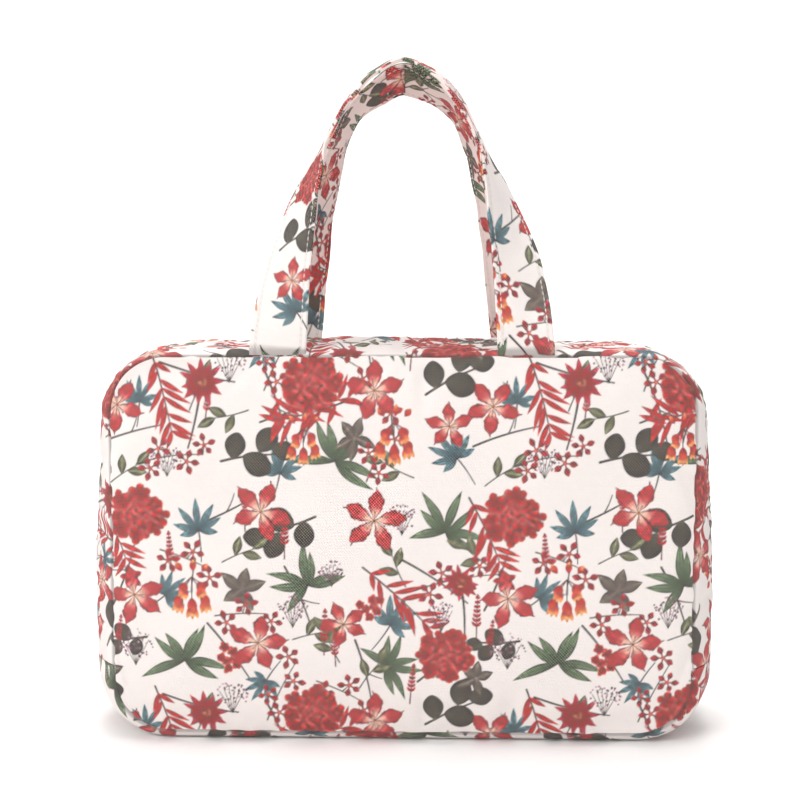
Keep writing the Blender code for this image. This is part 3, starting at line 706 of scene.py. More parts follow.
def skin_fields():
    """Travel of the front panel, back panel and ring on their coarse grids."""
    ring_count = 2 * (COARSE_ROWS + COARSE_COLS) - 4
    travel, ring_count = simulate_skin()
    ring = travel[: COARSE_DEPTHS * ring_count].reshape(COARSE_DEPTHS, ring_count)
    panels = []
    start = COARSE_DEPTHS * ring_count
    size = (COARSE_ROWS - 2) * (COARSE_COLS - 2)
    for k in range(2):
        field = np.zeros((COARSE_ROWS, COARSE_COLS))
        field[1:-1, 1:-1] = travel[start + k * size : start + (k + 1) * size].reshape(COARSE_ROWS - 2, -1)
        panels.append(np.clip(field, *PANEL_LIMIT))
    return panels[0], panels[1], np.clip(ring, *RING_LIMIT)


def cubic(field, a, b, wrap):
    """Smooth values of a grid at fractional places a down and b across."""
    rows, cols = field.shape
    a0, b0 = np.floor(a).astype(int), np.floor(b).astype(int)
    fa, fb = a - a0, b - b0

    def weights(f):
        return (
            -0.5 * f + f * f - 0.5 * f**3, 1.0 - 2.5 * f * f + 1.5 * f**3,
            0.5 * f + 2.0 * f * f - 1.5 * f**3, -0.5 * f * f + 0.5 * f**3,
        )

    wa, wb = weights(fa), weights(fb)
    total = 0.0
    for i in range(4):
        ai = np.clip(a0 + i - 1, 0, rows - 1)
        for j in range(4):
            bj = (b0 + j - 1) % cols if wrap else np.clip(b0 + j - 1, 0, cols - 1)
            total = total + wa[i] * wb[j] * field[ai, bj]
    return total


FRONT_FIELD, BACK_FIELD, RING_FIELD = skin_fields()


def ring_travel(ell, y):
    """How far the gusset stands past its plain shape."""
    ell = np.mod(ell, 4.0)
    rows, cols = COARSE_ROWS - 1, COARSE_COLS - 1
    place = np.where(
        ell < 1.0, ell * rows,
        np.where(ell < 2.0, rows + (ell - 1.0) * cols,
                 np.where(ell < 3.0, rows + cols + (ell - 2.0) * rows, 2 * rows + cols + (ell - 3.0) * cols)),
    )
    depth = (y + HALF_DEPTH) / (2.0 * HALF_DEPTH) * (COARSE_DEPTHS - 1)
    travel = cubic(RING_FIELD, depth, place, True)
    x, z, _, _ = loop_point(ell, y)
    free = smooth(np.abs(y), 0.003, 0.014) * smooth(z, 0.0015, 0.008)
    ripple = 0.00035 * waves(x + y, z - y, 3, 0.018, 0.060) * smooth(HALF_DEPTH - np.abs(y), 0.0, 0.010)
    return (travel + ripple) * free


def panel_travel(side, c, f, x, z):
    field = FRONT_FIELD if side < 0.0 else BACK_FIELD
    travel = cubic(field, f * (COARSE_ROWS - 1), c * (COARSE_COLS - 1), False)
    d = edge_distance(x, z)
    puff = 0.00050 * waves(x, z, 5 if side < 0.0 else 6, 0.045, 0.120) * smooth(d, 0.0, 0.030)
    pucker = 0.00030 * waves(x, z, 8 if side < 0.0 else 9, 0.009, 0.018) * np.exp(-d / 0.006) * smooth(d,
        0.0, 0.002)
    return travel * smooth(d, 0.0, 0.006) + puff + pucker


# ---------------------------------------------------------------- meshes
def mesh_from(name, points, quads, polygons=(), smooth_quads=True):
    """A mesh from arrays: quads as rows of four, and longer faces as lists, which stay flat."""
    mesh = bpy.data.meshes.new(name)
    points = np.asarray(points, np.float32).reshape(-1, 3)
    quads = np.asarray(quads, np.int32).reshape(-1, 4)
    corners = [quads.ravel()] + [np.asarray(p, np.int32) for p in polygons]
    starts = np.concatenate([
        np.arange(len(quads)) * 4,
        len(quads) * 4 + np.cumsum([0] + [len(p) for p in polygons])[:-1],
    ]).astype(np.int32) if len(polygons) else (np.arange(len(quads)) * 4).astype(np.int32)
    corners = np.concatenate(corners)
    mesh.vertices.add(len(points))
    mesh.loops.add(len(corners))
    mesh.polygons.add(len(quads) + len(polygons))
    mesh.vertices.foreach_set("co", points.ravel())
    mesh.loops.foreach_set("vertex_index", corners)
    mesh.polygons.foreach_set("loop_start", starts)
    flags = np.zeros(len(quads) + len(polygons), bool)
    flags[: len(quads)] = smooth_quads
    mesh.polygons.foreach_set("use_smooth", flags)
    mesh.update(calc_edges=True)
    mesh.validate()
    return mesh


def run_lengths(points):
    """Distance of each point of a run from its first point."""
    return np.concatenate([[0.0], np.cumsum(np.linalg.norm(np.diff(points, axis=0), axis=1))])


def grid_normals(grid):
    """Unit normals of a grid of points, from its own slopes."""
    along = np.gradient(grid, axis=0)
    across = np.gradient(grid, axis=1)
    n = np.cross(across, along)
    return n / np.maximum(1e-12, np.linalg.norm(n, axis=-1, keepdims=True))


def add_cloth(mesh, cloth, colour=None):
    """Stores each point's place on its cloth, in metres, and the colour printed there."""
    layer = mesh.attributes.new("cloth", "FLOAT_VECTOR", "POINT")
    values = np.zeros((len(cloth), 3), np.float32)
    values[:, :2] = cloth
    layer.data.foreach_set("vector", values.ravel())
    if colour is not None:
        layer = mesh.attributes.new("print", "FLOAT_COLOR", "POINT")
        values = np.ones((len(colour), 4), np.float32)
        values[:, :3] = colour
        layer.data.foreach_set("color", values.ravel())


def shell(name, grid, thickness, outward, cloth=None, colour=None, step=8):
    """A closed sheet: a fine outer face, a coarse inner one and a rim. outward is a point or an
    array of directions that the outer face looks towards."""
    rows, cols = grid.shape[:2]
    normals = grid_normals(grid)
    mid = (rows // 2, cols // 2)
    flip = float(np.dot(normals[mid], outward)) < 0.0
    if flip:
        normals = -normals
    ri = np.unique(np.append(np.arange(0, rows, step), rows - 1))
    cj = np.unique(np.append(np.arange(0, cols, step), cols - 1))
    inner = (grid - normals * thickness)[np.ix_(ri, cj)]
    points = np.concatenate([grid.reshape(-1, 3), inner.reshape(-1, 3)])
    index = np.arange(rows * cols).reshape(rows, cols)
    inside = rows * cols + np.arange(len(ri) * len(cj)).reshape(len(ri), len(cj))

    def quads(i):
        return np.stack([i[:-1, :-1], i[:-1, 1:], i[1:, 1:], i[1:, :-1]], -1).reshape(-1, 4)

    outer_quads, inner_quads = quads(index), quads(inside)[:, ::-1]
    rims = []
    for k in range(len(cj) - 1):
        a, b = cj[k], cj[k + 1]
        rims.append(list(index[0, a : b + 1][::-1]) + [inside[0, k], inside[0, k + 1]])
        rims.append(list(index[-1, a : b + 1]) + [inside[-1, k + 1], inside[-1, k]])
    for k in range(len(ri) - 1):
        a, b = ri[k], ri[k + 1]
        rims.append(list(index[a : b + 1, 0]) + [inside[k + 1, 0], inside[k, 0]])
        rims.append(list(index[a : b + 1, -1][::-1]) + [inside[k, -1], inside[k + 1, -1]])
    if flip:
        outer_quads, inner_quads = outer_quads[:, ::-1], inner_quads[:, ::-1]
        rims = [r[::-1] for r in rims]
    mesh = mesh_from(name, points, np.concatenate([outer_quads, inner_quads]), rims)
    if cloth is not None:
        both = np.concatenate([cloth.reshape(-1, 2), cloth[np.ix_(ri, cj)].reshape(-1, 2)])
        tint = None
        if colour is not None:
            tint = np.concatenate([colour.reshape(-1, 3), colour[np.ix_(ri, cj)].reshape(-1, 3)])
        add_cloth(mesh, both, tint)
    return mesh


def run_ells(kind, y, spacing):
    """ell of a strip's points, one row per depth y."""
    w, b, t, r = outline(y)
    rise = t - b - 2.0 * r
    run = math.pi * r + 2.0 * (w - r)
    over = (SPLIT_Z + SPLIT_GAP - b - r) / rise
    under = (SPLIT_Z - SPLIT_GAP - b - r) / rise
    one = np.ones_like(y)
    legs = {
        "upper": ((over, one, rise), (one, 2.0 * one, run), (2.0 * one, 3.0 - over, rise)),
        "lower": ((3.0 - under, 3.0 * one, rise), (3.0 * one, 4.0 * one, run),
                  (4.0 * one, 4.0 + under, rise)),
        "full": ((0.0 * one, one, rise), (one, 2.0 * one, run), (2.0 * one, 3.0 * one, rise),
                 (3.0 * one, 4.0 * one, run)),
    }[kind]
    parts = []
    for start, stop, length in legs:
        count = max(3, int(math.ceil(float(np.mean((stop - start) * length)) / spacing)))
        g = np.arange(count) / count
        parts.append(start[:, None] + (stop - start)[:, None] * g[None, :])
    parts.append(legs[-1][1][:, None])
    return np.concatenate(parts, 1)


def strip(kind, y, inset, spacing, travel=True):
    """A grid of points on the outline, at each depth y, its inset below the surface. Also its cloth
    coordinates: along the strip, and across it."""
    y = np.asarray(y, float)
    ell = run_ells(kind, y, spacing)
    yy = np.repeat(y[:, None], ell.shape[1], 1)
    depth = np.repeat(np.asarray(inset, float)[:, None] if np.ndim(inset) else np.full((len(y), 1),
        float(inset)), ell.shape[1], 1)
    x, z, nx, nz = loop_point(ell, yy)
    out = ring_travel(ell, yy) if travel else 0.0
    x = x + nx * (out - depth)
    z = z + nz * (out - depth)
    grid = np.stack([x, yy, z], -1)
    middle = len(y) // 2
    along = run_lengths(grid[middle])
    down = run_lengths(grid[:, ell.shape[1] // 2])
    u, v = np.meshgrid(along, down)
    return grid, np.stack([u, v], -1), ell


def graded(start, stop, fine, coarse, first=0.004, last=0.0):
    """Stations from start to stop, fine over the first and last stretches."""
    length = abs(stop - start)
    sign = 1.0 if stop > start else -1.0
    at, out = 0.0, [0.0]
    while at < length - 1e-9:
        step_ = fine if at < first or at > length - last else coarse
        at = min(length, at + step_)
        if length - at < 0.4 * step_:
            at = length
        out.append(at)
    return start + sign * np.array(out)


# ---------------------------------------------------------------- materials
def linear(code):
    c = tone(code)
    return tuple(np.where(c <= 0.04045, c / 12.92, ((c + 0.055) / 1.055) ** 2.4).tolist()) + (1.0,)


class Nodes:
    """A short way to build a node tree."""

    def __init__(self, name):
        self.material = bpy.data.materials.new(name)
        self.material.use_nodes = True
        self.tree = self.material.node_tree
        self.shader = self.tree.nodes["Principled BSDF"]

    def add(self, kind, **settings):
        node = self.tree.nodes.new(kind)
        for key, value in settings.items():
            setattr(node, key, value)
        return node

    def link(self, a, b):
        self.tree.links.new(a, b)

    def math(self, operation, a, b=None, c=None):
        node = self.add("ShaderNodeMath", operation=operation)
        for socket, value in zip(node.inputs, (a, b, c)):
            if value is None:
                continue
            if isinstance(value, (int, float)):
                socket.default_value = value
            else:
                self.link(value, socket)
        return node.outputs[0]

    def mix(self, factor, a, b, blend="MIX"):
        node = self.add("ShaderNodeMix", data_type="RGBA", blend_type=blend)
        for socket, value in ((node.inputs[0], factor), (node.inputs[6], a), (node.inputs[7], b)):
            if isinstance(value, (int, float, tuple)):
                socket.default_value = value
            else:
                self.link(value, socket)
        return node.outputs[2]

    def noise(self, vector, scale, detail=3.0, roughness=0.55):
        node = self.add("ShaderNodeTexNoise")
        node.inputs["Scale"].default_value = scale
        node.inputs["Detail"].default_value = detail
        node.inputs["Roughness"].default_value = roughness
        self.link(vector, node.inputs["Vector"])
        return node.outputs["Fac"]

    def attribute(self, name):
        return self.add("ShaderNodeAttribute", attribute_name=name)

    def place(self):
        return self.add("ShaderNodeTexCoord").outputs["Object"]

    def bump(self, height, distance, strength=1.0, after=None):
        node = self.add("ShaderNodeBump")
        node.inputs["Distance"].default_value = distance
        node.inputs["Strength"].default_value = strength
        self.link(height, node.inputs["Height"])
        if after is not None:
            self.link(after, node.inputs["Normal"])
        return node.outputs[0]

    def finish(self, colour=None, roughness=None, normal=None, **fixed):
        if colour is not None:
            self.link(colour, self.shader.inputs["Base Color"])
        if roughness is not None:
            self.link(roughness, self.shader.inputs["Roughness"])
        if normal is not None:
            self.link(normal, self.shader.inputs["Normal"])
        for key, value in fixed.items():
            self.shader.inputs[key.replace("_", " ")].default_value = value
        return self.material


CANVAS_THREAD = 0.00076


def woven(nodes, thread, skew=0.0):
    """Height of a weave, and where its weft floats, from the cloth coordinates."""
    cloth = nodes.attribute("cloth").outputs["Vector"]
    split = nodes.add("ShaderNodeSeparateXYZ")
    nodes.link(cloth, split.inputs[0])
    u = nodes.math("MULTIPLY", split.outputs[0], math.pi / thread)
    v = nodes.math("MULTIPLY", split.outputs[1], math.pi / thread)
    if skew:
        u = nodes.math("ADD", u, nodes.math("MULTIPLY", v, skew))
    su = nodes.math("SINE", u)
    sv = nodes.math("SINE", v)
    over = nodes.math("MULTIPLY", su, sv)
    warp = nodes.math("ABSOLUTE", su)
    weft = nodes.math("ABSOLUTE", sv)
    side = nodes.math("GREATER_THAN", over, 0.0)
    height = nodes.math("ADD", nodes.math("MULTIPLY", warp, side), nodes.math("MULTIPLY", weft,
        nodes.math("SUBTRACT", 1.0, side)))
    return cloth, height, over


def canvas_material():
    """Printed cotton canvas: the ink lies on the raised threads, and paler crossings show between."""
    n = Nodes("printed_canvas")
    ink = n.attribute("print").outputs["Color"]
    cloth, height, over = woven(n, CANVAS_THREAD, 0.12)
    slub = n.noise(cloth, 900.0, 2.0)
    crossing = n.math("MAXIMUM", n.math("MULTIPLY", over, n.math("ADD", n.math("MULTIPLY", slub, 1.1),
        0.15)), 0.0)
    gap = n.math("MAXIMUM", n.math("SUBTRACT", 0.45, height), 0.0)
    pale = n.math("ADD", n.math("MULTIPLY", crossing, 0.56), n.math("MULTIPLY", gap, 0.04))
    colour = n.mix(n.math("MINIMUM", pale, 0.56), ink, linear("F0E4DF"))
    fade = n.noise(cloth, 22.0, 3.0)
    under = n.math("MAXIMUM", n.math("MULTIPLY", over, -1.0), 0.0)
    shade = n.math("ADD", n.math("MULTIPLY", fade, 0.07), n.math("ADD", n.math("MULTIPLY", height, 0.10),
        0.89))
    shade = n.math("SUBTRACT", shade, n.math("MULTIPLY", under, 0.13))
    grey = n.add("ShaderNodeCombineColor")
    for socket in grey.inputs[:3]:
        n.link(shade, socket)
    colour = n.mix(1.0, colour, grey.outputs[0], "MULTIPLY")
    rough = n.math("ADD", n.math("MULTIPLY", slub, 0.16), 0.76)
    fine = n.bump(height, 0.00030, 0.9)
    normal = n.bump(n.noise(cloth, 160.0, 3.0), 0.0006, 0.4, fine)
    return n.finish(colour, rough, normal, Sheen_Weight=0.05, Sheen_Roughness=0.4, Specular_IOR_Level=0.12)


def cloth_material(name, light, dark, thread, rough=0.78, sheen=0.15, skew=0.0, depth=0.00012):
    """A plain dyed cloth with its weave."""
    n = Nodes(name)
    cloth, height, _ = woven(n, thread, skew)
    # Painted shade: the weave's low points are darker, mixed with random tone.
    tone_ = n.math("ADD", n.math("MULTIPLY", height, 0.55), n.math("MULTIPLY", n.noise(cloth, 60.0), 0.45))
    colour = n.mix(tone_, linear(dark), linear(light))
    normal = n.bump(n.noise(cloth, 220.0), 0.0003, 0.3, n.bump(height, depth, 0.8))
    roughness = n.math("ADD", n.math("MULTIPLY", n.noise(cloth, 500.0), 0.15), rough - 0.07)
    return n.finish(colour, roughness, normal, Sheen_Weight=sheen, Sheen_Roughness=0.5,
                    Specular_IOR_Level=0.3)


def herringbone_material(name, light, dark):
    """Zip tape: thin ribs that lean one way and then the other."""
    n = Nodes(name)
    cloth = n.attribute("cloth").outputs["Vector"]
    split = n.add("ShaderNodeSeparateXYZ")
    n.link(cloth, split.inputs[0])
    zigzag = n.math("PINGPONG", split.outputs[1], 0.0012)
    ribs = n.math("SINE", n.math("MULTIPLY", n.math("ADD", split.outputs[0], zigzag), 2.0 * math.pi / 0.0006))
    height = n.math("ADD", n.math("MULTIPLY", ribs, 0.5), 0.5)
    # Painted shade: the grooves between the ribs are darker, mixed with random tone.
    tone_ = n.math("ADD", n.math("MULTIPLY", height, 0.6), n.math("MULTIPLY", n.noise(cloth, 90.0), 0.4))
    colour = n.mix(tone_, linear(dark), linear(light))
    roughness = n.math("ADD", n.math("MULTIPLY", n.noise(cloth, 700.0), 0.2), 0.6)
    return n.finish(colour, roughness, n.bump(height, 0.0001, 0.8), Sheen_Weight=0.1, Specular_IOR_Level=0.35)


def speckled_material(name, light, dark, scale, rough, depth, **fixed):
    """Board, thread, nylon and the floor: fine grain in the object's own coordinates."""
    n = Nodes(name)
    place = n.place()
    grain = n.noise(place, scale, 4.0, 0.65)
    broad = n.noise(place, scale * 0.06, 2.0)
    tone_ = n.math("ADD", n.math("MULTIPLY", grain, 0.6), n.math("MULTIPLY", broad, 0.4))
    colour = n.mix(tone_, linear(dark), linear(light))
    roughness = n.math("ADD", n.math("MULTIPLY", grain, 0.2), rough - 0.1)
    return n.finish(colour, roughness, n.bump(grain, depth, 0.6), **fixed)


def foam_material():
    n = Nodes("foam")
    place = n.place()
    cells = n.add("ShaderNodeTexVoronoi")
    cells.inputs["Scale"].default_value = 1400.0
    n.link(place, cells.inputs["Vector"])
    colour = n.mix(cells.outputs["Distance"], linear("F1EFE6"), linear("CFCBBE"))
    return n.finish(colour, n.math("ADD", n.math("MULTIPLY", cells.outputs["Distance"], 0.1), 0.85),
                    n.bump(cells.outputs["Distance"], 0.0003, 0.8))


def metal_material():
    n = Nodes("brushed_metal")
    place = n.place()
    stretch = n.add("ShaderNodeMapping")
    stretch.inputs["Scale"].default_value = (300.0, 4000.0, 4000.0)
    n.link(place, stretch.inputs["Vector"])
    brush = n.noise(stretch.outputs[0], 1.0, 4.0)
    wear = n.noise(place, 350.0, 4.0)
    colour = n.mix(wear, linear("C9C4BC"), linear("E6E2DB"))
    roughness = n.math("ADD", n.math("MULTIPLY", brush, 0.16),
                       n.math("ADD", n.math("MULTIPLY", wear, 0.12), 0.16))
    return n.finish(colour, roughness, n.bump(brush, 0.00003, 0.5), Metallic=1.0)


CANVAS = canvas_material()
LINING = cloth_material("lining", "D9C7B8", "C0AC9B", 0.00035, 0.66, 0.25)
BINDING = cloth_material("binding", "A33440", "761C28", 0.00060, 0.74, 0.2, 0.6)
TAB = cloth_material("tab_cloth", "EFE3D6", "D3C4B4", 0.00050)
TAPE = herringbone_material("zip_tape", "F3EBE2", "D9CCBF")
TEETH = speckled_material("zip_nylon", "F1E8DD", "DCCFC0", 2600.0, 0.42, 0.00004, Specular_IOR_Level=0.5)
THREAD = speckled_material("thread", "FBF6F2", "E4D8D2", 4200.0, 0.7, 0.00008, Sheen_Weight=0.2)
RED_THREAD = speckled_material("red_thread", "B23B47", "8A2530", 4200.0, 0.7, 0.00008, Sheen_Weight=0.2)
FOAM = foam_material()
BOARD = speckled_material("board", "5B5B5C", "3E3E40", 1800.0, 0.6, 0.00006)
METAL = metal_material()
FLOOR = speckled_material("floor", "FBFAF9", "F4F3F2", 160.0, 0.85, 0.0002, Specular_IOR_Level=0.2)


# ---------------------------------------------------------------- pieces
def piece(name, mesh, material, body, nodes=()):
    """A mesh as a piece of one body, standing for the CAD nodes it covers."""
    obj = bpy.data.objects.new(name, mesh)
    bpy.context.scene.collection.objects.link(obj)
    mesh.materials.append(material)
    if body is not None:
        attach(obj, body)
    if nodes:
        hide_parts(*nodes)
    return obj


def painted_seam_shade(d, reach=0.0013, least=0.45):
    """Painted shadow of the seam, darker towards the stitched line."""
    return (least + (1.0 - least) * smooth(d, 0.0, reach))[..., None]


# The panels' printed canvas.
SEAM_ROLL = 0.0022
SEAM_ROLL_RADIUS = 0.0034
FABRIC = 0.0008
PRINT_SHIFT = {"front": (0.0195, 0.0060), "back": (0.1210, 0.0750)}
SPACING = 0.00048


def panel_canvas(prefix, side, spacing):
    columns = math.pi * SEAM_RADIUS + 2.0 * (SEAM_HALF_WIDTH - SEAM_RADIUS)
    c = graded(0.0, columns, spacing, spacing) / columns
    f = graded(0.0, 2.0 * HALF_HEIGHT, 0.0003, spacing, 0.003, 0.003) / (2.0 * HALF_HEIGHT)
    c, f = np.meshgrid(c, f)
    x, z = panel_grid(c, f)
    d = edge_distance(x, z)
    y = side * (HALF_DEPTH + panel_swell(x, z) + panel_travel(side, c, f, x, z) - roll(d, SEAM_ROLL,
        SEAM_ROLL_RADIUS))
    grid = np.stack([x, y, z], -1)
    ox, oz = PRINT_SHIFT[prefix]
    cloth = np.stack([-side * x + 0.2 + ox, 0.3 - z + oz], -1)
    # Painted shade: the print darkens towards the seam.
    colour = printed(cloth[..., 0], cloth[..., 1]) * painted_seam_shade(d)
    mesh = shell(prefix + "_panel_canvas", grid, FABRIC, (0.0, side, 0.0), cloth, colour)
    obj = piece(prefix + "_panel_canvas", mesh, CANVAS, prefix + "_half", [prefix + "_panel"])
    return obj


panel_canvas("front", -1.0, SPACING)
panel_canvas("back", 1.0, SPACING * 1.35)

# The gussets: the strip between the panels, in a front half, a back half and a base.
EDGE_ROLL = 0.0019
EDGE_ROLL_RADIUS = 0.0032
ZIP_EDGE_Y = 0.0060


def gusset_inset(y):
    """How far the strip turns in at the seam and at the zip's edge."""
    inset = roll(HALF_DEPTH - np.abs(y), EDGE_ROLL, EDGE_ROLL_RADIUS)
    return inset + roll(np.maximum(0.0, np.abs(y) - ZIP_EDGE_Y), 0.0009, 0.0012)


def gusset_canvas(prefix, side, spacing):
    y = side * graded(HALF_DEPTH, ZIP_EDGE_Y, 0.0003, spacing, 0.0035, 0.0015)
    grid, cloth, _ = strip("upper", y, gusset_inset(y), spacing)
    cloth = cloth + np.array((0.031 if side < 0.0 else 0.113, 0.118 if side < 0.0 else 0.041))
    # Painted shade: the print darkens towards the seam and towards the zip's edge.
    shade = painted_seam_shade(HALF_DEPTH - np.abs(grid[..., 1])) * painted_seam_shade(np.abs(grid[..., 1]) - ZIP_EDGE_Y, 0.0010, 0.7)
    colour = printed(cloth[..., 0], cloth[..., 1]) * shade
    mesh = shell(prefix + "_gusset_canvas", grid, FABRIC, (0.0, 0.0, 1.0), cloth, colour)
    obj = piece(prefix + "_gusset_canvas", mesh, CANVAS, prefix + "_half", [prefix + "_gusset"])


gusset_canvas("front", -1.0, SPACING)
gusset_canvas("back", 1.0, SPACING * 1.2)


def base_canvas(spacing):
    y = graded(-HALF_DEPTH, HALF_DEPTH, 0.0003, spacing, 0.0075, 0.0035)
    inset = roll(HALF_DEPTH - np.abs(y), EDGE_ROLL, EDGE_ROLL_RADIUS)
    grid, cloth, _ = strip("lower", y, inset, spacing)
    grid[..., 2] = np.maximum(grid[..., 2], 0.0)
    cloth = cloth + np.array((0.067, 0.020))
    # Painted shade: the print darkens towards both seams.
    colour = printed(cloth[..., 0], cloth[..., 1]) * painted_seam_shade(HALF_DEPTH - np.abs(grid[..., 1]))
    mesh = shell("base_canvas", grid, FABRIC, (0.0, 0.0, -1.0), cloth, colour)
    obj = piece("base_canvas", mesh, CANVAS, None, ["base_gusset"])
    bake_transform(obj)


base_canvas(SPACING * 1.35)


# The handles.
STRAP_TUCK = 0.0012


def strap_line(points, base_y, apex_y, count, below):
    """Centre points of a strap from one foot to the other, and the distance of each from its foot."""
    p = [np.array((-x, 0.0, z)) for x, z in points]
    knots = [2.0 * p[0] - p[1]] + p + [np.array((-p[-2][0], 0.0, p[-2][2]))]
    half = []
    for i in range(1, len(knots) - 2):
        p0, p1, p2, p3 = knots[i - 1 : i + 3]
        f = (np.arange(60) / 60.0)[:, None]
        half.append((2.0 * p1 + (p2 - p0) * f + (2.0 * p0 - 5.0 * p1 + 4.0 * p2 - p3) * f * f
                     + (3.0 * p1 - p0 - 3.0 * p2 + p3) * f**3) / 2.0)
    half = np.concatenate(half + [p[-1][None, :]])
    length = run_lengths(half)
    total = length[-1]
    along = np.linspace(-below, 2.0 * total + below, count)
    near = np.where(along > total, 2.0 * total - along, along)
    centre = np.stack([np.interp(near, length, half[:, k]) for k in range(3)], -1)
    centre[:, 2] += np.minimum(near, 0.0)
    centre[:, 1] = base_y + (apex_y - base_y) * np.sin(math.pi / 2.0 * np.clip(near / total, 0.0, 1.0))
    centre[:, 0] *= np.where(along > total, -1.0, 1.0)
    centre[:, 1] -= math.copysign(STRAP_TUCK, base_y) * (1.0 - smooth(near, 0.0, 0.012))
    for _ in range(3):
        centre[1:-1] = (centre[:-2] + 2.0 * centre[1:-1] + centre[2:]) / 4.0
    return centre, near, total, along


def strap_frame(points, side, apex_y, twist_at, count, below=0.0032):
    """Centre points, directions across the strap and off its outer face, and distances."""
    centre, near, total, along = strap_line(points, side * HALF_DEPTH, apex_y, count, below)
    tangent = np.gradient(centre, axis=0)
    tangent /= np.linalg.norm(tangent, axis=1, keepdims=True)
    inward = np.cross(tangent, (0.0, -1.0, 0.0))
    inward /= np.linalg.norm(inward, axis=1, keepdims=True)
    inward *= np.where(((centre - (0.0, 0.0, 0.25)) * inward).sum(1) > 0.0, -1.0, 1.0)[:, None]
    turn = np.radians(twist_at(np.maximum(near, 0.0), total) + 1.2 * waves(along, 0.0 * along,
        21 + int(side), 0.05, 0.12))[:, None]
    across = inward * np.cos(turn) + np.array((0.0, side, 0.0)) * np.sin(turn)
    across -= tangent * (across * tangent).sum(1, keepdims=True)
    across /= np.linalg.norm(across, axis=1, keepdims=True)
    face = np.cross(tangent, across)
    return centre, tangent, across, face, near, total, along


# Turn of each strap about its own length, in degrees, and the length over which it turns.
FRONT_TWIST = 82.0
FRONT_TWIST_LENGTH = 0.106
SHOULDER_TWIST = 76.0
BACK_TWIST_LENGTH = 0.120
BACK_TOP_TWIST = 59.0


def front_twist(distance, _total):
    return FRONT_TWIST * np.minimum(1.0, distance / FRONT_TWIST_LENGTH)


def back_twist(distance, total):
    reach = np.minimum(distance, BACK_TWIST_LENGTH) / BACK_TWIST_LENGTH
    rising = SHOULDER_TWIST * np.sin(math.pi / 2.0 * reach)
    f = np.clip((distance - BACK_TWIST_LENGTH) / (total - BACK_TWIST_LENGTH), 0.0, 1.0)
    easing = SHOULDER_TWIST - (SHOULDER_TWIST - BACK_TOP_TWIST) * f * f
    return np.where(distance <= BACK_TWIST_LENGTH, rising, easing)


STITCH_MARGIN = 0.0030
# A painted pink reflection on the inner faces of the handles and across their tops, standing for light from
# the print opposite.
PAINTED_INNER_REFLECTION = np.array((1.04, 0.94, 0.93))
STRAP_EDGE = STRAP_THICKNESS / 2.0


def strap_thickness(a, gap):
    """Half thickness of a folded strap, thinner along its stitch lines and where its halves meet."""
    line_ = np.exp(-(((np.abs(a) - (STRAP_WIDTH / 2.0 - STITCH_MARGIN)) / 0.0006) ** 2))
    middle = np.exp(-((a / 0.006) ** 2))
    return STRAP_EDGE * (1.0 - 0.22 * line_ - 0.08 * middle) - 0.00025 * np.exp(-((gap / 0.0006) ** 2))


